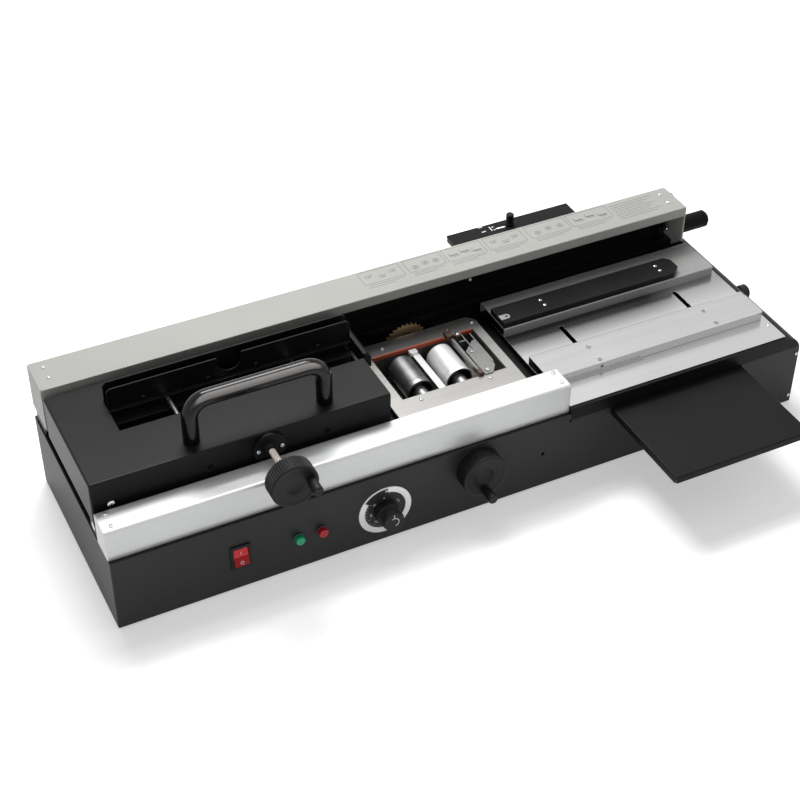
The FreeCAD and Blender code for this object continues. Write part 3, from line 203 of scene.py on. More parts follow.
def paintMaterial(name, own):  # powder coat, paint, moulded plastic and rubber
    look = {**paintBase, **own}
    material, tree, shader, place = newMaterial(name, {"Specular IOR Level": look["specular"]})
    grain = useGroup(tree, "fineGrain", [("Vector", place), ("Scale", look["grain"])])
    wornAndLitEdge = useGroup(tree, "edgeWearAndHighlight", [("Radius", look["round"]), ("Vector", place)])
    film = useGroup(tree, "dustFilm", [("Vector", place)])
    dust = times(tree, film["Mask"], look["dust"])
    tone = mixColour(tree, grain["Cloud"], look["colour"], look["cloud"])
    # lighter edges: partly rubbed-off paint, partly a painted highlight along the edges
    tone = mixColour(tree, times(tree, wornAndLitEdge["Mask"], look["wearAndHighlight"]), tone, look["edge"])
    tone = mixColour(tree, dust, tone, dustLook["colour"])
    if "paintedSheen" in look:  # painted highlight: a lighter strip on the side that faces the given direction
        paintedSheen = look["paintedSheen"]
        facing = facingTowards(tree, Vector(paintedSheen["direction"]))
        tone = mixColour(tree, spread(tree, facing, paintedSheen["from"], paintedSheen["to"]), tone, paintedSheen["colour"])
    tree.links.new(tone, shader.inputs["Base Color"])
    rough = spread(tree, grain["Height"], *toneRange, *look["rough"])
    tree.links.new(sums(tree, "ADD", rough, dust), shader.inputs["Roughness"])
    addBump(tree, shader, grain["Height"], wornAndLitEdge["Normal"], look["bump"], look["depth"])
    return material


def paintedBarReflection(tree, place, tone, barReflection):  # painted reflection of the nip bar: a darker strip in front of it, paler towards one end
    spot = addNode(tree, "SeparateXYZ", [(0, place)]).outputs
    depth = spread(tree, spot["Y"], at(0, barReflection["front"], 0).y, at(0, barReflection["rear"], 0).y, 0.0, barReflection["share"])
    along = spread(tree, spot["X"], at(barReflection["fadeFrom"], 0, 0).x, at(barReflection["fadeTo"], 0, 0).x, 1.0, barReflection["fadeShare"])
    return mixColour(tree, times(tree, depth, along), tone, barReflection["colour"])


def steelMaterial(name, own):  # brushed, turned and cast metal
    look = {**steelBase, **own}
    material, tree, shader, place = newMaterial(name, {"Metallic": look["metal"]})
    mapped = addNode(tree, "Mapping", [("Vector", place), ("Scale", Vector(look["stretch"]))]).outputs[0]
    lines = useGroup(tree, "brushedLines", [("Vector", mapped)])
    cloud = useGroup(tree, "fineGrain", [("Vector", place), ("Scale", look["cloudScale"])])["Cloud"]
    wornAndLitEdge = useGroup(tree, "edgeWearAndHighlight", [("Radius", look["round"]), ("Vector", place)])
    tone = mixColour(tree, spread(tree, lines["Tone"], *toneRange), look["colour"], look["line"])
    tone = mixColour(tree, times(tree, cloud, look["cloudShare"]), tone, look["cloud"])
    # painted reflection of the nip bar, fixed to the table
    if "barReflection" in look:
        tone = paintedBarReflection(tree, place, tone, look["barReflection"])
    # lighter edges: partly rubbed-off paint, partly a painted highlight along the edges
    tone = mixColour(tree, times(tree, wornAndLitEdge["Mask"], look["wearAndHighlight"]), tone, look["edge"])
    tree.links.new(tone, shader.inputs["Base Color"])
    rough = spread(tree, lines["Tone"], *toneRange, *look["rough"])
    cloudRough = times(tree, cloud, look["cloudRoughness"])
    tree.links.new(sums(tree, "ADD", rough, cloudRough), shader.inputs["Roughness"])
    addBump(tree, shader, lines["Height"], wornAndLitEdge["Normal"], look["bump"], look["depth"])
    return material


# what a look doesn't state itself comes from its base
paintBase = {"rough": (0.42, 0.55), "grain": 1500.0, "bump": 0.3, "depth": 0.0002,
    "round": 0.0008, "wearAndHighlight": 0.4, "dust": 0.008, "specular": 0.5}
paintLooks = {
    "black_powder": {"colour": (0.0042, 0.0042, 0.0045), "cloud": (0.006, 0.006, 0.0064), "edge": (0.07, 0.07, 0.075),
        "rough": (0.38, 0.52), "round": 0.0009, "wearAndHighlight": 0.45, "dust": 0.006, "specular": 0.11},
    "panel_powder": {"colour": (0.0155, 0.0155, 0.0164), "cloud": (0.019, 0.019, 0.02), "edge": (0.09, 0.09, 0.095),
        "round": 0.0009, "dust": 0.01, "specular": 0.24},
    "carriage_powder": {"colour": (0.0045, 0.0045, 0.0048), "cloud": (0.0068, 0.0068, 0.0071),
        "edge": (0.09, 0.09, 0.095), "rough": (0.34, 0.46), "bump": 0.28, "round": 0.001, "wearAndHighlight": 0.6, "dust": 0.006,
        "specular": 0.14},
    "deep_powder": {"colour": (0.0035, 0.0035, 0.0037), "cloud": (0.005, 0.005, 0.0053), "edge": (0.05, 0.05, 0.053),
        "rough": (0.3, 0.42), "bump": 0.25, "wearAndHighlight": 0.5, "specular": 0.16},
    "rubber_black": {"colour": grey(0.014), "cloud": (0.02, 0.02, 0.019), "edge": grey(0.06), "rough": (0.7, 0.85),
        "grain": 900.0, "bump": 0.4, "wearAndHighlight": 0.3, "dust": 0.05},
    "warm_grey_paint": {"colour": (0.3, 0.296, 0.279), "cloud": (0.33, 0.326, 0.306), "edge": (0.8, 0.79, 0.75),
        "grain": 1300.0, "bump": 0.16, "depth": 0.0001, "round": 0.0012, "wearAndHighlight": 0.5, "dust": 0.02},
    "gloss_black": {"colour": (0.003, 0.003, 0.0032), "cloud": (0.0042, 0.0042, 0.0044), "edge": grey(0.02),
        "rough": (0.12, 0.15), "grain": 420.0, "bump": 0.02, "depth": 0.0001, "round": 0.0006, "wearAndHighlight": 0.2,
        "dust": 0.004, "specular": 0.24,
        # the lighter strip on the handle is a painted highlight
        "paintedSheen": {"direction": (0.0, -0.74, 0.67), "from": 0.9, "to": 0.95, "colour": (0.27, 0.255, 0.245)}},
    "lever_rubber": {"colour": (0.0028, 0.0028, 0.003), "cloud": (0.0042, 0.0042, 0.0044), "edge": grey(0.03),
        "rough": (0.38, 0.5), "grain": 1200.0, "bump": 0.2, "depth": 0.0001, "wearAndHighlight": 0.2, "dust": 0.003,
        "specular": 0.06},
    "matte_black_plastic": {"colour": (0.0068, 0.0068, 0.0071), "cloud": (0.009, 0.009, 0.0094), "edge": grey(0.08),
        "rough": (0.42, 0.56), "grain": 2200.0, "bump": 0.25, "depth": 0.00012, "round": 0.0004, "wearAndHighlight": 0.3,
        "specular": 0.2},
    "dial_black": {"colour": grey(0.013), "cloud": grey(0.017), "edge": grey(0.04), "rough": (0.4, 0.5),
        "grain": 1800.0, "bump": 0.1, "depth": 0.0001, "round": 0.0003, "wearAndHighlight": 0.2, "specular": 0.25},
    "gasket_red": {"colour": (0.3, 0.046, 0.015), "cloud": (0.38, 0.064, 0.022), "edge": (0.55, 0.16, 0.08),
        "rough": (0.5, 0.65), "grain": 600.0, "bump": 0.2, "round": 0.0003, "wearAndHighlight": 0.3, "dust": 0.02},
    "brown_phenolic": {"colour": (0.03, 0.014, 0.008), "cloud": (0.055, 0.024, 0.013), "edge": (0.2, 0.13, 0.08),
        "rough": (0.35, 0.5), "grain": 800.0, "round": 0.0004, "dust": 0.02},
    # a lighter copy of the rocker red for its upper half: painted light
    "rocker_red_painted_lit": {"colour": (0.72, 0.018, 0.022), "cloud": (0.78, 0.022, 0.026), "edge": (0.95, 0.3, 0.3),
        "rough": (0.12, 0.18), "grain": 300.0, "bump": 0.02, "depth": 0.0001, "round": 0.0005, "wearAndHighlight": 0.8,
        "dust": 0.0, "specular": 0.3},
    "rocker_red": {"colour": (0.36, 0.003, 0.0045), "cloud": (0.4, 0.004, 0.006), "edge": (0.8, 0.1, 0.1),
        "rough": (0.14, 0.2), "grain": 300.0, "bump": 0.02, "depth": 0.0001, "round": 0.0004, "dust": 0.0,
        "specular": 0.15},
}
inkBase = {"rough": (0.5, 0.6), "grain": 2000.0, "bump": 0.05, "depth": 0.00005,
    "round": 0.0001, "wearAndHighlight": 0.0, "dust": 0.0}
inkLooks = {
    "white_ink": {"colour": (0.70, 0.70, 0.68), "cloud": (0.62, 0.62, 0.60), "edge": grey(0.75)},
    "pale_ink": {"colour": (0.55, 0.55, 0.54), "cloud": (0.62, 0.62, 0.61), "edge": grey(0.65)},
    "field_ink": {"colour": (0.10, 0.10, 0.095), "cloud": (0.15, 0.15, 0.145), "edge": grey(0.2)},
}
steelBase = {"edge": grey(0.97), "stretch": (5, 1100, 1100), "rough": (0.17, 0.24), "bump": 0.1,
    "depth": 0.0001, "round": 0.0006, "wearAndHighlight": 0.6, "metal": 1.0, "cloudScale": 700.0, "cloudShare": 0.35,
    "cloudRoughness": 0.05}
steelLooks = {
    "satin_aluminium": {"colour": (0.62, 0.625, 0.628), "line": (0.66, 0.665, 0.668), "cloud": (0.64, 0.645, 0.648),
        "stretch": (6, 900, 900), "metal": 0.42, "rough": (0.34, 0.42), "bump": 0.08, "round": 0.0014, "wearAndHighlight": 0.8},
    "stainless": {"colour": (0.53, 0.535, 0.53), "line": (0.585, 0.59, 0.585), "cloud": (0.55, 0.555, 0.55),
        "edge": grey(0.9), "bump": 0.06},
    "dark_stainless": {"colour": (0.16, 0.16, 0.155), "line": (0.22, 0.22, 0.215), "cloud": (0.13, 0.13, 0.125),
        "edge": (0.62, 0.62, 0.6), "stretch": (300, 300, 300), "rough": (0.34, 0.46), "bump": 0.12, "round": 0.0005,
        "wearAndHighlight": 0.7},
    "pale_stainless": {"colour": (0.7, 0.7, 0.69), "line": (0.8, 0.8, 0.79), "cloud": (0.74, 0.74, 0.73),
        "edge": grey(0.92), "stretch": (900, 7, 900), "metal": 0.5, "rough": (0.26, 0.36), "round": 0.0005},
    "beige_steel": {"colour": (0.32, 0.311, 0.3), "line": (0.36, 0.351, 0.338), "cloud": (0.305, 0.296, 0.282),
        "edge": (0.88, 0.87, 0.83), "stretch": (9, 900, 900), "metal": 0.85, "rough": (0.28, 0.38), "wearAndHighlight": 0.7},
    "turned_steel": {"colour": grey(0.62), "line": grey(0.72), "cloud": (0.66, 0.65, 0.64), "edge": grey(0.95),
        "stretch": (40, 2200, 40), "rough": (0.16, 0.26), "bump": 0.12, "wearAndHighlight": 0.5},
    "grey_roller": {"colour": (0.22, 0.223, 0.227), "line": (0.29, 0.293, 0.297), "cloud": (0.24, 0.243, 0.247),
        "edge": grey(0.9), "stretch": (60, 1500, 60), "rough": (0.3, 0.4), "bump": 0.14},
    "bright_roller": {"colour": (0.88, 0.88, 0.875), "line": (0.93, 0.93, 0.925), "cloud": (0.9, 0.9, 0.895),
        "stretch": (60, 1500, 60), "metal": 0.45, "rough": (0.24, 0.34), "bump": 0.14, "wearAndHighlight": 0.5},
    "zinc_screw": {"colour": (0.62, 0.64, 0.66), "line": (0.74, 0.76, 0.78), "cloud": (0.6, 0.62, 0.65),
        "edge": grey(0.95), "stretch": (500, 500, 500), "rough": (0.12, 0.2), "bump": 0.05, "depth": 0.00005,
        "round": 0.0002, "wearAndHighlight": 0.4},
    "grey_cast": {"colour": (0.12, 0.12, 0.117), "line": (0.18, 0.18, 0.175), "cloud": (0.09, 0.085, 0.08),
        "edge": (0.45, 0.45, 0.44), "stretch": (260, 260, 260), "rough": (0.38, 0.55), "bump": 0.35, "depth": 0.0003,
        "wearAndHighlight": 0.5},
    "bronze": {"colour": (0.36, 0.25, 0.13), "line": (0.48, 0.34, 0.19), "cloud": (0.14, 0.09, 0.04),
        "edge": (0.72, 0.58, 0.36), "stretch": (700, 700, 700), "metal": 0.8, "rough": (0.34, 0.5), "bump": 0.15,
        "round": 0.0004, "wearAndHighlight": 0.8},
    "dial_silver": {"colour": (0.72, 0.72, 0.71), "line": (0.78, 0.78, 0.77), "cloud": (0.75, 0.75, 0.74),
        "stretch": (300, 300, 300), "metal": 0.55, "rough": (0.28, 0.36), "bump": 0.04, "depth": 0.00005,
        "round": 0.0004},
    "rolled_stainless": {"colour": (0.27, 0.27, 0.266), "line": (0.32, 0.32, 0.316), "cloud": (0.29, 0.29, 0.286),
        "edge": grey(0.85), "metal": 0.45, "rough": (0.3, 0.4), "bump": 0.06},
    "table_stainless": {"colour": (0.55, 0.555, 0.55), "line": (0.6, 0.605, 0.6), "cloud": (0.57, 0.575, 0.57),
        "edge": grey(0.9), "bump": 0.06,
        # a painted reflection of the nip bar, darkening the table in front of it
        "barReflection": {"front": 108.0, "rear": 148.0, "share": 0.95, "fadeFrom": 765.0, "fadeTo": 812.0,
        "fadeShare": 0.45, "colour": grey(0.03)}},
    "hub_steel": {"colour": grey(0.42), "line": grey(0.5), "cloud": (0.45, 0.45, 0.44), "edge": grey(0.95),
        "stretch": (40, 2200, 40), "metal": 0.9, "rough": (0.24, 0.32), "round": 0.0005, "wearAndHighlight": 0.5},
    "thread_steel": {"colour": (0.36, 0.31, 0.285), "line": (0.48, 0.43, 0.4), "cloud": (0.4, 0.33, 0.3),
        "edge": (0.9, 0.88, 0.86), "stretch": (40, 2200, 40), "rough": (0.26, 0.36), "bump": 0.08, "round": 0.0003,
        "wearAndHighlight": 0.9},
    "gloss_black_steel": {"colour": (0.02, 0.02, 0.021), "line": (0.03, 0.03, 0.031), "cloud": grey(0.026),
        "edge": grey(0.3), "stretch": (40, 1200, 40), "rough": (0.28, 0.4), "round": 0.0005},
}
deepNodes = ("front_jaw_plate", "front_jaw_bar", "rear_jaw", "nip_bar", "rear_housing", "deck_plate",
    "clamp_flange", "pot_frame", "rail_brackets", "gear_plate")
nodeFinishes = {"base_shell": "panel_powder", "carriage_shell": "carriage_powder", "carriage_handle": "gloss_black",
    "blade_bridge": "dark_stainless", "pot_divider": "pale_stainless", "nip_lever": "lever_rubber",
    # the guide tubes sit inside the carriage and take a black finish: painted shade
    "rear_nip_plate": "rolled_stainless", "nip_table": "table_stainless", "guide_tubes": "gloss_black_steel",
    **dict.fromkeys(deepNodes, "deep_powder")}

lensBase = {"fixed": {"Roughness": 0.10, "Specular IOR Level": 0.35, "Emission Strength": 1.0}, "grain": 500.0,
            "cloudShare": 0.2, "foot": (0.009, 0.001), "round": 0.0004, "bump": 0.05, "depth": 0.0001}
lensLooks = {
    "lamp_green": {"colour": (0.012, 0.36, 0.16), "deep": (0.0, 0.035, 0.016), "glow": (0.0, 0.045, 0.020)},
    "lamp_red": {"colour": (0.42, 0.006, 0.012), "deep": (0.055, 0.0, 0.001), "glow": (0.05, 0.0, 0.001)},
}


def lensMaterial(name, own):  # coloured clear plastic with a deeper colour at its foot
    look = {**lensBase, **own}
    material, tree, shader, place = newMaterial(name, look["fixed"])
    cloud = useGroup(tree, "fineGrain", [("Vector", place), ("Scale", look["grain"])])
    depth = addNode(tree, "SeparateXYZ", [(0, place)]).outputs["Y"]
    foot = spread(tree, depth, origin.y - look["foot"][0], origin.y - look["foot"][1])
    tone = mixColour(tree, foot, look["colour"], look["deep"])
    tone = mixColour(tree, times(tree, cloud["Cloud"], look["cloudShare"]), tone, look["deep"])
    tree.links.new(tone, shader.inputs["Base Color"])
    wornAndLitEdge = useGroup(tree, "edgeWearAndHighlight", [("Radius", look["round"]), ("Vector", place)])
    addBump(tree, shader, cloud["Height"], wornAndLitEdge["Normal"], look["bump"], look["depth"])
    tree.links.new(mixColour(tree, foot, look["glow"], grey(0.0)), shader.inputs["Emission Color"])
    return material


materials = {}
for build, looks in ((paintMaterial, paintLooks), (steelMaterial, steelLooks), (lensMaterial, lensLooks)):
    for slotName, look in looks.items():
        materials[slotName] = build(slotName + ".finish", look)
for slotName, look in inkLooks.items():
    materials[slotName] = paintMaterial(slotName + ".finish", {**inkBase, **look})
for name, node in nodes.items():
    slotName = node.data.materials[0].name.split(".")[0]
    node.data.materials[0] = materials[nodeFinishes.get(name, slotName)]
print("materials built:", len(materials))


# mesh helpers
mergeGap = 0.000002


def finishPiece(name, bm, materialName, body, replaced=(), sharp=32.0):
    bmesh.ops.remove_doubles(bm, verts=bm.verts, dist=mergeGap)
    bmesh.ops.recalc_face_normals(bm, faces=bm.faces)
    mesh = bpy.data.meshes.new(name)
    bm.to_mesh(mesh)
    bm.free()
    mesh.polygons.foreach_set("use_smooth", [True] * len(mesh.polygons))
    mesh.set_sharp_from_angle(angle=math.radians(sharp))
    names = [materialName] if isinstance(materialName, str) else materialName
    for entry in names:
        mesh.materials.append(materials[entry])
    piece = bpy.data.objects.new(name, mesh)
    bpy.context.scene.collection.objects.link(piece)
    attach(piece, body)
    if replaced:
        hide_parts(*replaced)
    return piece


def towards(axis):  # turns a shape built along +Z to look along another axis
    turns = {"+z": (0, "X"), "-y": (90, "X"), "+y": (-90, "X"), "+x": (90, "Y"), "-x": (-90, "Y"), "-z": (180, "X")}
    angle, about = turns[axis]
    return Matrix.Rotation(math.radians(angle), 4, about)


def lathe(profile, steps=48):  # profile of (radius, height) in millimetres, turned round Z
    bm = bmesh.new()
    verts = [bm.verts.new((radius * 0.001, 0, height * 0.001)) for radius, height in profile]
    edges = [bm.edges.new(pair) for pair in zip(verts, verts[1:])]
    bmesh.ops.spin(bm, geom=verts + edges, cent=(0, 0, 0), axis=(0, 0, 1), angle=math.tau, steps=steps, use_merge=True)
    bmesh.ops.remove_doubles(bm, verts=bm.verts, dist=mergeGap)
    return bm


def addCopy(target, source, matrix):
    mesh = bpy.data.meshes.new("copy")
    source.to_mesh(mesh)
    mesh.transform(matrix)
    target.from_mesh(mesh)
    bpy.data.meshes.remove(mesh)


def addPart(target, source, matrix=Matrix.Identity(4)):  # adds a shape that isn't needed again
    addCopy(target, source, matrix)
    source.free()


def moveAll(bm, matrix):
    bmesh.ops.transform(bm, matrix=matrix, verts=bm.verts)


def only(items, kind):  # the vertices, edges or faces among the results of an operator
    return [item for item in items if isinstance(item, getattr(bmesh.types, kind))]


def block(bm, low, high, bevel=0.0, segments=2, materialIndex=0):  # a bevelled block between two corners
    made = bmesh.ops.create_cube(bm, size=1.0)["verts"]
    size, centre = high - low, (low + high) / 2
    bmesh.ops.scale(bm, vec=size, verts=made)
    bmesh.ops.translate(bm, vec=centre, verts=made)
    faces = list({f for v in made for f in v.link_faces})
    for face in faces:
        face.material_index = materialIndex
    if bevel:
        edges = list({e for v in made for e in v.link_edges})
        bmesh.ops.bevel(bm, geom=edges, offset=bevel, affect="EDGES", segments=segments, profile=0.5, material=-1)


def islands(node):  # the separate solids of a CAD node: lowest and highest corner and the points of each
    bm = bmesh.new()
    bm.from_mesh(nodes[node].data)
    bmesh.ops.remove_doubles(bm, verts=bm.verts, dist=0.000005)
    seen, found = set(), []
    for first in bm.verts:
        if first in seen:
            continue
        stack, group = [first], []
        seen.add(first)
        while stack:
            vert = stack.pop()
            group.append(vert.co.copy())
            for edge in vert.link_edges:
                other = edge.other_vert(vert)
                if other not in seen:
                    seen.add(other)
                    stack.append(other)
        low = Vector([min(p[k] for p in group) for k in range(3)])
        high = Vector([max(p[k] for p in group) for k in range(3)])
        found.append((low, high, group))
    bm.free()
    return found


# stage, camera and light
cameraLook = {"place": (-0.7394, -1.3944, 1.3614), "forward": (0.34397, 0.69099, -0.63578),
              "right": (0.89679, -0.44243, 0.00433), "lens": 75.1, "sensor": 36.0, "clip": (0.01, 50.0)}
floorLook = {"size": 3.0, "colour": grey(0.84), "rough": 0.75, "glow": 0.38}
worldLook = {"shown": (1.0, 1.0, 1.0, 1.0), "light": (0.97, 0.98, 1.0, 1.0), "strength": 0.30}
lightLooks = {
    "softbox": {"place": (0.12, 0.52, 1.6), "aim": (0.12, 0.52, 0.6), "power": 14.0, "size": (1.1, 0.6)},
    "keyLight": {"place": (-0.05, 0.78, 1.75), "aim": (0.0, 0.0, 0.1), "power": 24.0, "size": (1.0, 0.5)},
    "fillLight": {"place": (-1.6, -1.7, 1.2), "aim": (0.0, 0.0, 0.1), "power": 6.5, "size": (1.4, 1.4)},
    "sideLight": {"place": (2.0, -0.6, 1.3), "aim": (0.1, 0.0, 0.1), "power": 4.0, "size": (1.0, 1.4)},
}


def backdropRays(tree):  # one for the rays that see the backdrop, straight or in a reflection
    path = addNode(tree, "LightPath")
    mirrored = sums(tree, "MAXIMUM", path.outputs["Is Glossy Ray"], path.outputs["Is Transmission Ray"])
    return sums(tree, "MAXIMUM", path.outputs["Is Camera Ray"], mirrored)


def buildStage():
    look = floorLook
    bm = bmesh.new()
    bmesh.ops.create_grid(bm, x_segments=1, y_segments=1, size=look["size"])
    mesh = bpy.data.meshes.new("floor")
    bm.to_mesh(mesh)
    bm.free()
    floor = bpy.data.objects.new("floor", mesh)
    bpy.context.scene.collection.objects.link(floor)
    constants = {"Roughness": look["rough"], "Base Color": look["colour"], "Emission Color": grey(1.0)}
    material, tree, shader, _ = newMaterial("paleFloor", constants)
    tree.links.new(times(tree, backdropRays(tree), look["glow"]), shader.inputs["Emission Strength"])
    mesh.materials.append(material)


def buildCamera():
    look = cameraLook
    camera = bpy.data.objects.new("camera", bpy.data.cameras.new("camera"))
    bpy.context.scene.collection.objects.link(camera)
    forward, right = Vector(look["forward"]).normalized(), Vector(look["right"]).normalized()
    up = right.cross(forward).normalized()
    turn = Matrix((right, up, -forward)).transposed().to_4x4()
    camera.matrix_world = Matrix.Translation(Vector(look["place"])) @ turn
    camera.data.lens, camera.data.sensor_width = look["lens"], look["sensor"]
    camera.data.clip_start, camera.data.clip_end = look["clip"]
    bpy.context.scene.camera = camera


def addLight(name, look):
    lamp = bpy.data.lights.new(name, "AREA")
    lamp.shape, lamp.energy = "RECTANGLE", look["power"]
    lamp.size, lamp.size_y = look["size"]
    light = bpy.data.objects.new(name, lamp)
    light.location = look["place"]
    light.rotation_mode = "QUATERNION"
    light.rotation_quaternion = (Vector(look["aim"]) - Vector(look["place"])).to_track_quat("-Z", "Y")
    bpy.context.scene.collection.objects.link(light)


def buildLight():
    for name, look in lightLooks.items():
        addLight(name, look)
    world = bpy.data.worlds.new("studio")
    bpy.context.scene.world = world
    world.use_nodes = True
    tree = world.node_tree
    tree.nodes.clear()
    shown = addNode(tree, "Background", [("Color", worldLook["shown"]), ("Strength", 1.0)])
    lit = addNode(tree, "Background", [("Color", worldLook["light"]), ("Strength", worldLook["strength"])])
    mix = addNode(tree, "MixShader", [(0, backdropRays(tree)), (1, lit.outputs[0]), (2, shown.outputs[0])])
    tree.links.new(mix.outputs[0], addNode(tree, "OutputWorld").inputs["Surface"])


buildStage()
buildCamera()
buildLight()
bpy.context.scene.view_settings.view_transform = "Standard"
print("stage, camera and light placed")


# screws
screwLook = {"segments": 20, "crossWidth": 0.26, "crossLength": 1.15, "crossDepth": 0.55, "crossFloor": 0.8,
             "rim": 0.72, "dome": ((0.9, 0.82), (1.0, 0.5), (1.0, 0.0)), "endGap": 0.00002, "turnStep": 1.7,
             "turnRange": 3.14}


def panHead(radius, height):  # pan head with a cross recess, standing on z = 0, in metres
    bm = bmesh.new()
    arm, half = radius * screwLook["crossLength"] / 2, radius * screwLook["crossWidth"] / 2
    bmesh.ops.create_grid(bm, x_segments=3, y_segments=3, size=1.0)
    for vert in bm.verts:
        for k in range(2):
            outer = abs(vert.co[k]) > 0.9
            vert.co[k] = math.copysign(arm if outer else half, vert.co[k])
        vert.co.z = height
    corners = [f for f in bm.faces if abs(f.calc_center_median().x) > half and abs(f.calc_center_median().y) > half]
    bmesh.ops.delete(bm, geom=corners, context="FACES")
    plus = list(bm.faces)
    floor = bmesh.ops.extrude_face_region(bm, geom=plus)["geom"]
    floorVerts = only(floor, "BMVert")
    bmesh.ops.translate(bm, vec=(0, 0, -height * screwLook["crossDepth"]), verts=floorVerts)
    bmesh.ops.scale(bm, vec=(screwLook["crossFloor"], screwLook["crossFloor"], 1), verts=floorVerts)
    bmesh.ops.delete(bm, geom=[f for f in plus if f.is_valid], context="FACES_ONLY")
    opening = [e for e in bm.edges if e.is_boundary or not e.link_faces]
    for edge in [e for e in opening if not e.link_faces]:
        bm.edges.remove(edge)
    opening = [e for e in bm.edges if e.is_boundary]
    rim = bmesh.ops.create_circle(bm, segments=screwLook["segments"], radius=radius * screwLook["rim"])["verts"]
    bmesh.ops.translate(bm, vec=(0, 0, height), verts=rim)
    rimEdges = [e for e in bm.edges if e.verts[0] in rim and e.verts[1] in rim]
    bmesh.ops.bridge_loops(bm, edges=opening + rimEdges)
    loop = rimEdges
    for share, drop in screwLook["dome"]:
        made = bmesh.ops.extrude_edge_only(bm, edges=loop)["geom"]
        verts = only(made, "BMVert")
        size = Vector(verts[0].co.xy).length
        bmesh.ops.scale(bm, vec=(radius * share / size, radius * share / size, 1), verts=verts)
        for vert in verts:
            vert.co.z = height * drop
        loop = only(made, "BMEdge")
    bmesh.ops.holes_fill(bm, edges=loop, sides=0)
    return bm


def screwSet(name, node, body):
    target = bmesh.new()
    heads = {}
    for low, high, points in islands(node):
        size = high - low
        pairs = sorted(range(3), key=lambda k: size[k])
        axis = pairs[0]
        radius = max(size[pairs[1]], size[pairs[2]]) / 2
        centre = (low + high) / 2
        ends = [max((p - centre).length for p in points if abs(p[axis] - edge[axis]) < screwLook["endGap"])
                for edge in (low, high)]
        sign = 1 if ends[1] < ends[0] else -1
        key = (round(radius, 5), round(size[axis], 5))
        if key not in heads:
            heads[key] = panHead(*key)
        seat = centre.copy()
        seat[axis] = low[axis] if sign > 0 else high[axis]
        angle = screwLook["turnStep"] * len(target.verts) % screwLook["turnRange"]
        turn = towards(("+" if sign > 0 else "-") + "xyz"[axis]) @ Matrix.Rotation(angle, 4, "Z")
        addCopy(target, heads[key], Matrix.Translation(seat) @ turn)
    for head in heads.values():
        head.free()
    return finishPiece(name, target, "zinc_screw", body, (node,), 28.0)


screwSet("panScrews", "pan_screws", "base")
screwSet("carriageScrews", "carriage_screws", "carriage")
print("screws made")


# handwheels and their grips
handwheelLook = {"flutes": 54, "fluteDepth": 1.0, "width": 20, "smoothRim": 2.4,
                 "face": [(27.6, 17.8), (28.0, 18.1), (27.9, 18.8), (27.5, 19.4), (26.8, 19.8), (26.0, 20.0),
                          (24.8, 19.95), (23.4, 19.5), (22.0, 19.1), (20.5, 19.0), (11.6, 18.9), (10.8, 18.75),
                          (10.2, 18.3),
                          (9.4, 17.6), (8.0, 17.0), (6.0, 16.6), (3.5, 16.3), (1.2, 16.2)]}
gripLook = {"length": 0.021,
            "profile": [(0, 9.5), (3.0, 9.5), (3.0, 0), (4.6, 0), (4.8, -0.4), (4.8, -1.8), (5.7, -2.4), (6.0, -3.0),
                        (6.0, -18.6), (5.85, -19.6), (5.4, -20.4), (4.6, -20.9), (3.6, -21.0), (2.8, -20.7),
                        (0, -20.6)]}


def ringStep(bm, faces, radius, height):  # insets the end face and sets the new ring's radius and height, in mm
    bmesh.ops.inset_region(bm, faces=faces, thickness=0.00001, depth=0.0)
    for vert in {v for f in faces for v in f.verts}:
        flat = vert.co.xy.normalized() * radius * 0.001
        vert.co = (flat.x, flat.y, height * 0.001)


def toothedDisc(teeth, tip, root, height):  # end face of a disc with trapezoid teeth, in millimetres
    bm = bmesh.new()
    rim = bmesh.ops.create_circle(bm, segments=teeth * 4, radius=tip * 0.001, cap_ends=True)["verts"]
    around = sorted(rim, key=lambda v: math.atan2(v.co.y, v.co.x))
    grooves = [v for k, v in enumerate(around) if k % 4 in (2, 3)]
    bmesh.ops.scale(bm, vec=(root / tip, root / tip, 1), verts=grooves)
    made = bmesh.ops.extrude_face_region(bm, geom=list(bm.faces))["geom"]
    bmesh.ops.translate(bm, vec=(0, 0, height * 0.001), verts=only(made, "BMVert"))
    return bm, only(made, "BMFace")


def handwheel(name, node, body):
    low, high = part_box(node)
    centre, radius = (low + high) / 2, (high.x - low.x) * 500
    look = handwheelLook
    bm, top = toothedDisc(look["flutes"], radius, radius - look["fluteDepth"], look["width"] - look["smoothRim"])
    for ringRadius, height in look["face"]:
        ringStep(bm, top, min(ringRadius, radius), height)
    moveAll(bm, Matrix.Translation((centre.x, high.y, centre.z)) @ towards("-y"))
    return finishPiece(name, bm, "matte_black_plastic", body, (node,), 30.0)


def crankGrip(name, node, body):
    low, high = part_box(node)
    bm = lathe([(radius, -height) for radius, height in gripLook["profile"]], 40)
    centre = (low + high) / 2
    moveAll(bm, Matrix.Translation((centre.x, low.y + gripLook["length"], centre.z)) @ towards("-y"))
    return finishPiece(name, bm, "matte_black_plastic", body, (node,), 40.0)


handwheel("clampHandwheel", "clamp_wheel", "clamp_handwheel")
handwheel("glueHandwheel", "glue_wheel", "glue_crank")
crankGrip("clampGrip", "clamp_crank_knob", "clamp_grip")
crankGrip("glueGrip", "glue_crank_knob", "glue_grip")
print("handwheels made")


# clamp screw with its thread; the flanks are shares of the pitch
threadLook = {"radius": 4.0, "root": 3.45, "pitch": 1.5, "plainFront": 6.0, "plainRear": 0.5, "chamfer": 0.4,
              "flanks": (0.38, 0.50, 0.88)}


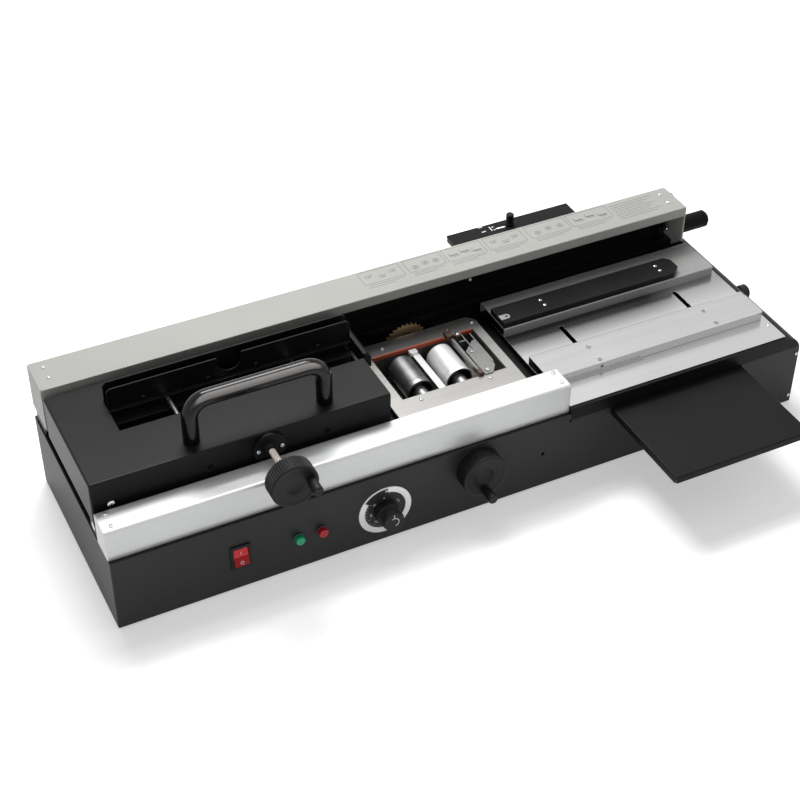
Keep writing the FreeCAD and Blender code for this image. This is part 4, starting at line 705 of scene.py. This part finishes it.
def clampScrew():
    low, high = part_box("clamp_screw")
    length = (high.y - low.y) * 1000
    look = threadLook
    radius, root, pitch, chamfer = look["radius"], look["root"], look["pitch"], look["chamfer"]
    down, floor, up = look["flanks"]
    height = look["plainFront"]
    profile = [(0, 0), (radius - chamfer, 0), (radius, chamfer), (radius, height)]
    while height + pitch < length - look["plainRear"]:
        profile += [(root, height + pitch * down), (root, height + pitch * floor),
                    (radius, height + pitch * up), (radius, height + pitch)]
        height += pitch
    profile += [(radius, length - chamfer), (radius - chamfer, length), (0, length)]
    bm = lathe(profile, 24)
    centre = (low + high) / 2
    moveAll(bm, Matrix.Translation((centre.x, low.y, centre.z)) @ towards("+y"))
    finishPiece("clampScrew", bm, "thread_steel", "clamp_handwheel", ("clamp_screw",), 25.0)


clampScrew()
print("clamp screw made")

darkHoleDiscLook = {"x": (135.5, 274.4), "front": 46.4, "z": 148.0,
               "profile": [(0, 0), (3.95, 0), (3.95, 0.3), (3.6, 0.6), (2.8, 0.9), (0, 0.7)]}


def darkHoleDiscs():  # dark discs that fill the two holes in the carriage front and make them look black
    discs = bmesh.new()
    for x in darkHoleDiscLook["x"]:
        place = Matrix.Translation(at(x, darkHoleDiscLook["front"], darkHoleDiscLook["z"]))
        addPart(discs, lathe(darkHoleDiscLook["profile"], 24), place @ towards("-y"))
    finishPiece("darkHoleDiscs", discs, "lever_rubber", "carriage", (), 35.0)


darkHoleDiscs()
print("hole caps made")


# glue rollers
rollerLook = {"barrel": 17.5, "hub": 8.5, "shaft": 5.0, "front": 124.0, "rear": 179.0, "nose": 4.5, "hubStart": 5.1,
              "hubChamfer": 0.6, "recess": 1.2, "wall": 2.2, "flare": 0.4, "lip": 0.2, "rim": 1.0, "rimStep": 0.3,
              "grooveAt": 7.0, "grooveHalf": 0.5, "grooveFloor": 0.35, "grooveDepth": 0.5, "collar": 5,
              "recessEdge": 0.6, "hubEdge": 1.2, "recessDepth": (0.0001, 0.002),
              "teeth": 20, "gearTip": 11.0, "gearRoot": 8.75, "gearWidth": 5.0, "gearSeat": 5.2}


def glueRoller(name, node, body, barrelFinish):
    low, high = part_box(node)
    centre = (low + high) / 2
    look = rollerLook
    front, rear = at(0, look["front"], 0).y, at(0, look["rear"], 0).y
    toFront, toRear, length = (low.y - front) * 1000, (high.y - front) * 1000, (rear - front) * 1000
    r, hub, shaft, collar = look["barrel"], look["hub"], look["shaft"], length + look["collar"]
    groove, wide, narrow = look["grooveAt"], look["grooveHalf"], look["grooveFloor"]
    sunk, rim, step = r - look["grooveDepth"], look["rim"], look["rimStep"]
    ends = [(0, toFront), (shaft, toFront), (shaft, toFront + look["nose"]),
            (hub - look["hubChamfer"], toFront + look["nose"]), (hub, toFront + look["hubStart"]),
            (hub, look["recess"]), (r - look["wall"], look["recess"]), (r - look["wall"] + look["flare"], look["lip"])]
    barrel = [(r - rim, 0), (r - step, step), (r, rim), (r, groove - wide), (sunk, groove - narrow),
              (sunk, groove + narrow), (r, groove + wide), (r, length - rim), (r - rim, length)]
    tail = [(hub, length), (hub, collar), (shaft, collar), (shaft, toRear - look["gearSeat"])]
    bm = lathe(ends + barrel + tail, 72)
    shallow, deep = look["recessDepth"]
    for face in bm.faces:
        spot = face.calc_center_median()
        away = spot.xy.length
        face.material_index = 0 if away > (r - look["hubEdge"]) * 0.001 else 2
        if hub * 0.001 < away < (r - look["recessEdge"]) * 0.001 and shallow < spot.z < deep:
            face.material_index = 1
    gear, _ = toothedDisc(look["teeth"], look["gearTip"], look["gearRoot"], look["gearWidth"])
    for face in gear.faces:
        face.material_index = 2
    addPart(bm, gear, Matrix.Translation((0, 0, (toRear - look["gearSeat"]) * 0.001)))
    moveAll(bm, Matrix.Translation((centre.x, front, centre.z)) @ towards("+y"))
    finishPiece(name, bm, [barrelFinish, "gloss_black_steel", "hub_steel"], body, (node,), 30.0)


glueRoller("glueRollerLeft", "glue_roller_left", "roller_left", "grey_roller")
glueRoller("glueRollerRight", "glue_roller_right", "roller_right", "bright_roller")
print("rollers made")


# thermostat dial
dialLook = {"ringOuter": 33.3, "ringInner": 25.7, "ringHeight": 1.6, "chamfer": 0.4, "innerChamfer": 0.3,
            "gapFrom": 84, "gapTo": 143, "gapOuter": 31.6, "gapOverlap": 1.0, "gapBottom": 0.2, "gapRise": 0.25,
            "bore": 4.0, "plateGap": 0.1, "plateHeight": 1.0, "plateEdge": 0.2, "plateInset": 0.4,
            "ticksFrom": 143, "ticksTo": 262, "ticks": 13, "tickOuter": 24.6, "tickShort": 1.8, "tickLong": 3.2,
            "tickWidth": 0.4, "inkHeight": 0.15, "numberRadius": 18.2, "numberSize": 4.2,
            "numbers": [("0", 94), ("40", 139), ("80", 186), ("120", 233), ("160", 280), ("200", 333), ("240", 27)],
            "spot": [(0, 0), (1.5, 0), (1.5, 0.15), (0, 0.15)], "spotRadius": 0.0288, "spotAngle": 4}
dialCentre = middle("dial_plate")
panelY = origin.y


def sector(inner, outer, angleFrom, angleTo, bottom, top, steps):  # a piece of a flat ring, in mm and degrees
    bm = bmesh.new()
    corners = [bm.verts.new((radius * 0.001, 0, height * 0.001)) for radius, height in
               ((inner, bottom), (outer, bottom), (outer, top), (inner, top))]
    face = bm.faces.new(corners)
    bmesh.ops.rotate(bm, verts=bm.verts, cent=(0, 0, 0), matrix=Matrix.Rotation(math.radians(angleFrom), 3, "Z"))
    bmesh.ops.spin(bm, geom=[face] + list(face.edges) + corners, cent=(0, 0, 0), axis=(0, 0, 1),
                   angle=math.radians(angleTo - angleFrom), steps=steps)
    return bm



def inkText(text, size, height):  # a plain word or number as a thin solid lying on z = 0, centred, in millimetres
    curve = bpy.data.curves.new("ink", "FONT")
    curve.body, curve.size = text, size * 0.001
    curve.align_x, curve.align_y = "CENTER", "CENTER"
    curve.extrude = height * 0.0005
    curve.resolution_u = 3
    holder = bpy.data.objects.new("ink", curve)
    mesh = bpy.data.meshes.new_from_object(holder)
    bpy.data.objects.remove(holder)
    bpy.data.curves.remove(curve)
    bm = bmesh.new()
    bm.from_mesh(mesh)
    bpy.data.meshes.remove(mesh)
    return bm


def addBar(bm, low, high, index=0):  # a thin block between two corners given in millimetres
    block(bm, Vector(low) * 0.001, Vector(high) * 0.001, materialIndex=index)


def ontoPanel(centre):  # from a drawing with x right, y up and z outwards to the front panel
    return Matrix.Translation((centre.x, panelY, centre.z)) @ towards("-y")

def buildDial():
    look = dialLook
    inner, outer, height, chamfer = look["ringInner"], look["ringOuter"], look["ringHeight"], look["chamfer"]
    ring = lathe([(inner, 0), (outer, 0), (outer, height - chamfer), (outer - chamfer, height),
                  (inner + look["innerChamfer"], height), (inner, height - look["innerChamfer"]), (inner, 0)], 120)
    moveAll(ring, ontoPanel(dialCentre))
    finishPiece("dialRing", ring, "dial_silver", "base", ("dial_bezel",), 30.0)
    bore, edge, top = look["bore"], inner - look["plateGap"], look["plateHeight"]
    plate = lathe([(bore, 0), (edge, 0), (edge, top - look["plateEdge"]), (inner - look["plateInset"], top),
                   (bore, top), (bore, 0)], 96)
    addPart(plate, sector(inner - look["gapOverlap"], look["gapOuter"], look["gapFrom"], look["gapTo"],
                          look["gapBottom"], height + look["gapRise"], 24))
    moveAll(plate, ontoPanel(dialCentre))
    finishPiece("dialPlate", plate, "dial_black", "base", ("dial_plate",), 30.0)
    marks = bmesh.new()
    for k in range(look["ticks"]):
        angle = look["ticksFrom"] + (look["ticksTo"] - look["ticksFrom"]) * k / (look["ticks"] - 1)
        length = look["tickLong"] if k % 3 == 0 else look["tickShort"]
        bar = bmesh.new()
        addBar(bar, (look["tickOuter"] - length, -look["tickWidth"] / 2, top),
               (look["tickOuter"], look["tickWidth"] / 2, top + look["inkHeight"]))
        addPart(marks, bar, Matrix.Rotation(math.radians(angle), 4, "Z"))
    lift = Matrix.Translation((0, 0, (top + look["inkHeight"] / 2) * 0.001))
    outwards = Matrix.Translation((look["numberRadius"] * 0.001, 0, 0))
    for word, angle in look["numbers"]:
        place = Matrix.Rotation(math.radians(angle), 4, "Z") @ outwards
        addPart(marks, inkText(word, look["numberSize"], look["inkHeight"]),
                lift @ place @ Matrix.Rotation(math.radians(-90), 4, "Z"))
    angle, reach = math.radians(look["gapFrom"] + look["spotAngle"]), look["spotRadius"]
    spot = (reach * math.cos(angle), reach * math.sin(angle), (height + look["gapRise"]) * 0.001)
    addPart(marks, lathe(look["spot"], 20), Matrix.Translation(spot))
    moveAll(marks, ontoPanel(dialCentre))
    finishPiece("dialScale", marks, "pale_ink", "base", (), 30.0)


knobLook = {"sides": 10, "foot": 0.015, "lift": 0.0013, "ribBevel": 0.0006, "top": 25.0,
            "rings": [(15.0, 9.8), (14.6, 10.6), (13.9, 11.0), (13.7, 11.6), (13.4, 23.4), (12.9, 24.5), (12.2, 25.0)],
            "arc": (5.2, 6.3, -75, 120, 24.95), "pointer": (0.55, 7.2, 11.2, 24.9), "ink": 0.14,
            "shaft": [(0, -20), (3.0, -20), (3.0, 1.4), (0, 1.4)]}


def buildKnob():
    look = knobLook
    inkTop = look["top"] + look["ink"]
    bm = bmesh.new()
    bmesh.ops.create_circle(bm, segments=look["sides"], radius=look["foot"], cap_ends=True)
    bmesh.ops.translate(bm, vec=(0, 0, look["lift"]), verts=bm.verts)
    top = only(bmesh.ops.extrude_face_region(bm, geom=list(bm.faces))["geom"], "BMFace")
    for radius, height in look["rings"]:
        ringStep(bm, top, radius, height)
    bmesh.ops.remove_doubles(bm, verts=bm.verts, dist=mergeGap)
    ribs = [e for e in bm.edges if abs(e.verts[0].co.z - e.verts[1].co.z) > 0.0002]
    bmesh.ops.bevel(bm, geom=ribs, offset=look["ribBevel"], affect="EDGES", segments=2, profile=0.5, material=-1)
    inner, outer, angleFrom, angleTo, arcBottom = look["arc"]
    arc = sector(inner, outer, angleFrom, angleTo, arcBottom, inkTop, 20)
    for face in arc.faces:
        face.material_index = 1
    addPart(bm, arc)
    half, start, end, bottom = look["pointer"]
    addBar(bm, (-half, start, bottom), (half, end, inkTop), 1)
    addPart(bm, lathe(look["shaft"], 24))
    moveAll(bm, ontoPanel(dialCentre))
    finishes = ["matte_black_plastic", "white_ink"]
    finishPiece("dialKnob", bm, finishes, "heat_dial", ("dial_knob",), 24.0)


buildDial()
buildKnob()
print("dial made")


# pilot lamps and rocker switch
lampLook = {"profile": [(0, -16), (4.0, -16), (4.0, 0), (6.2, 0), (6.3, 0.4), (6.3, 1.6), (6.0, 2.0), (5.5, 2.2),
                        (5.5, 7.2), (5.2, 8.2), (4.5, 8.8), (3.4, 9.0), (2.6, 8.8), (2.2, 8.2), (0, 8.0)]}


def pilotLamp(name, node):
    bm = lathe(lampLook["profile"], 40)
    moveAll(bm, ontoPanel(middle(node)))
    finishPiece(name, bm, node, "base", (node,), 30.0)


# a mark lies at (y, z) in metres from the panel and the middle, on a face that leans by its slope
rockerLook = {"front": [(-5.3, -11.0), (-4.9, -10.9), (-2.6, -3.0), (-1.9, -0.6), (-1.5, 0.0), (-1.3, 0.8), (-0.7, 9.6),
                        (-0.5, 11.2)],
              "back": [(4.5, 11.2), (7.5, 0.0), (4.5, -11.0)], "bevel": 0.35, "inkHeight": 0.12,
              "ring": (1.5, 2.1), "ringPlace": (-0.00385, -0.0070), "ringSlope": (2.3, 7.9),
              "line": (0.3, 2.0), "linePlace": (-0.0010, 0.0052), "lineSlope": (0.6, 8.8)}


def rockerSwitch():
    look = rockerLook
    low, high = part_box("rocker_switch")
    centre = middle("rocker_housing")
    bm = bmesh.new()
    outline = look["front"] + look["back"]
    verts = [bm.verts.new((low.x, panelY + y * 0.001, centre.z + z * 0.001)) for y, z in outline]
    made = bmesh.ops.extrude_face_region(bm, geom=[bm.faces.new(verts)])["geom"]
    bmesh.ops.translate(bm, vec=(high.x - low.x, 0, 0), verts=only(made, "BMVert"))
    bmesh.ops.recalc_face_normals(bm, faces=bm.faces)
    ends = [e for e in bm.edges if abs(e.verts[0].co.x - e.verts[1].co.x) < 0.0001]
    bmesh.ops.bevel(bm, geom=ends, offset=look["bevel"] * 0.001, affect="EDGES", segments=2, profile=0.5, material=-1)
    for face in bm.faces:
        # faces above the middle take the lighter red: painted light on the half that tilts up
        face.material_index = 1 if face.calc_center_median().z > centre.z else 0
    finishes = ["rocker_red", "rocker_red_painted_lit"]
    finishPiece("rockerSwitch", bm, finishes, "power_rocker", ("rocker_switch",), 26.0)

    def onRocker(place, slope):
        tilt = Matrix.Rotation(-math.atan2(*slope), 4, "X")
        return Matrix.Translation((centre.x, panelY + place[0], centre.z + place[1])) @ tilt @ towards("-y")

    marks = bmesh.new()
    circle = sector(*look["ring"], 0, 359.9, 0, look["inkHeight"], 28)
    addPart(marks, circle, onRocker(look["ringPlace"], look["ringSlope"]))
    line = bmesh.new()
    width, length = look["line"]
    addBar(line, (-width, -length, 0), (width, length, look["inkHeight"]))
    addPart(marks, line, onRocker(look["linePlace"], look["lineSlope"]))
    finishPiece("rockerMarks", marks, "white_ink", "power_rocker", (), 30.0)


pilotLamp("pilotLampGreen", "lamp_green")
pilotLamp("pilotLampRed", "lamp_red")
rockerSwitch()
print("lamps and switch made")


# printed marks: table scale, tray gauge and guide fields on the rear beam
scaleLook = {"from": 592.0, "to": 692.0, "step": 2.0, "y": 42.8, "short": 1.9, "long": 3.2, "width": 0.7,
             "height": 0.08}
trayGaugeLook = {"y": 398.0, "from": 664.0, "height": 0.1,  # bars as x, y, width, depth
                 "bars": [(0, 10.2, 6.5, 1.8), (0, -1.2, 6.5, 1.8), (14.2, -3.0, 1.6, 10.5), (17.6, 4.2, 3.2, 1.8),
                          (17.6, -3.0, 3.2, 1.8)]}
fieldLook = {"line": 0.55, "height": 0.08, "rear": 264.0, "front": 237.5,
             "fields": [(413.5, 468.5), (474.5, 525.0), (528.5, 582.5), (587.0, 640.0), (646.5, 704.0), (707.5, 766.5)],
             "symbolShares": (0.22, 0.52, 0.8), "symbolRise": 11, "symbolWave": 3, "rings": [(4.2, 3.4), (1.6, 0.4)],
             "tray": [(-6, 6, -1.0, 1.6), (-6, -5.2, 1.6, 6), (-3, 7, -3.2, -2.7)],  # strokes as x, x, y, y
             "book": [(-5, 5, 3.6, 4.2), (-5, -4.4, -2.4, 3.6), (-2.5, 2.5, -0.6, 1.2)],
             "textLines": ((233.5, 4), (229.5, 16)), "textInset": 3, "textHeight": 0.7,
             "notes": (771.0, 834.0, 226.0, 258.0, 8), "notesStep": 7}


def addStroke(bm, top, height, x0, x1, y0, y1):
    low, high = at(x0, y0, 0), at(x1, y1, 0)
    low.z, high.z = top, top + height * 0.001
    block(bm, low, high)


def tableScale():
    look, top = scaleLook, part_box("nip_table")[1].z
    marks = bmesh.new()
    half = look["width"] / 2
    for k in range(int((look["to"] - look["from"]) / look["step"]) + 1):
        x, length = look["from"] + k * look["step"], look["long"] if k % 5 == 0 else look["short"]
        addStroke(marks, top, look["height"], x - half, x + half, look["y"] - length, look["y"])
    finishPiece("tableScale", marks, "field_ink", "base", (), 30.0)


def trayGauge():
    look, top = trayGaugeLook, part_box("rear_tray")[1].z
    marks = bmesh.new()
    for x, y, width, depth in look["bars"]:
        left, front = look["from"] + x, look["y"] + y
        addStroke(marks, top, look["height"], left, left + width, front, front + depth)
    finishPiece("trayGauge", marks, "white_ink", "back_tray", (), 30.0)


def guideFields():  # empty guide fields with plain blocks, rings and strokes, no words
    look, top = fieldLook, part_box("rear_beam")[1].z
    marks = bmesh.new()

    def stroke(x0, x1, y0, y1):
        addStroke(marks, top, look["height"], x0, x1, y0, y1)

    def symbol(kind, x, y):
        if kind == 0:
            for outer, inner in look["rings"]:
                spot = at(x, y, 0)
                mark = sector(inner, outer, 0, 359.9, 0, look["height"], 20)
                addPart(marks, mark, Matrix.Translation((spot.x, spot.y, top)))
            return
        for x0, x1, y0, y1 in look["tray"] if kind == 1 else look["book"]:
            stroke(x + x0, x + x1, y + y0, y + y1)

    line, front, rear = look["line"], look["front"], look["rear"]
    for k, (left, right) in enumerate(look["fields"]):
        stroke(left, right, front, front + line)
        stroke(left, right, rear - line, rear)
        stroke(left, left + line, front + line, rear - line)
        stroke(right - line, right, front + line, rear - line)
        for share in look["symbolShares"]:
            y = front + look["symbolRise"] + look["symbolWave"] * math.sin(k * 2.1 + share * 9)
            symbol((k + int(share * 10)) % 3, left + (right - left) * share, y)
        for y, gap in look["textLines"]:
            stroke(left + look["textInset"], right - gap, y, y + look["textHeight"])
    left, right, front, rear, rows = look["notes"]
    for row in range(rows):
        y = rear - (rear - front) * row / (rows - 1)
        stroke(left, right - (look["notesStep"] * (row % 3)), y, y + look["textHeight"])
    finishPiece("guideFields", marks, "field_ink", "base", (), 30.0)


tableScale()
trayGauge()
guideFields()
print("printed marks made")


# end
print("pieces done")
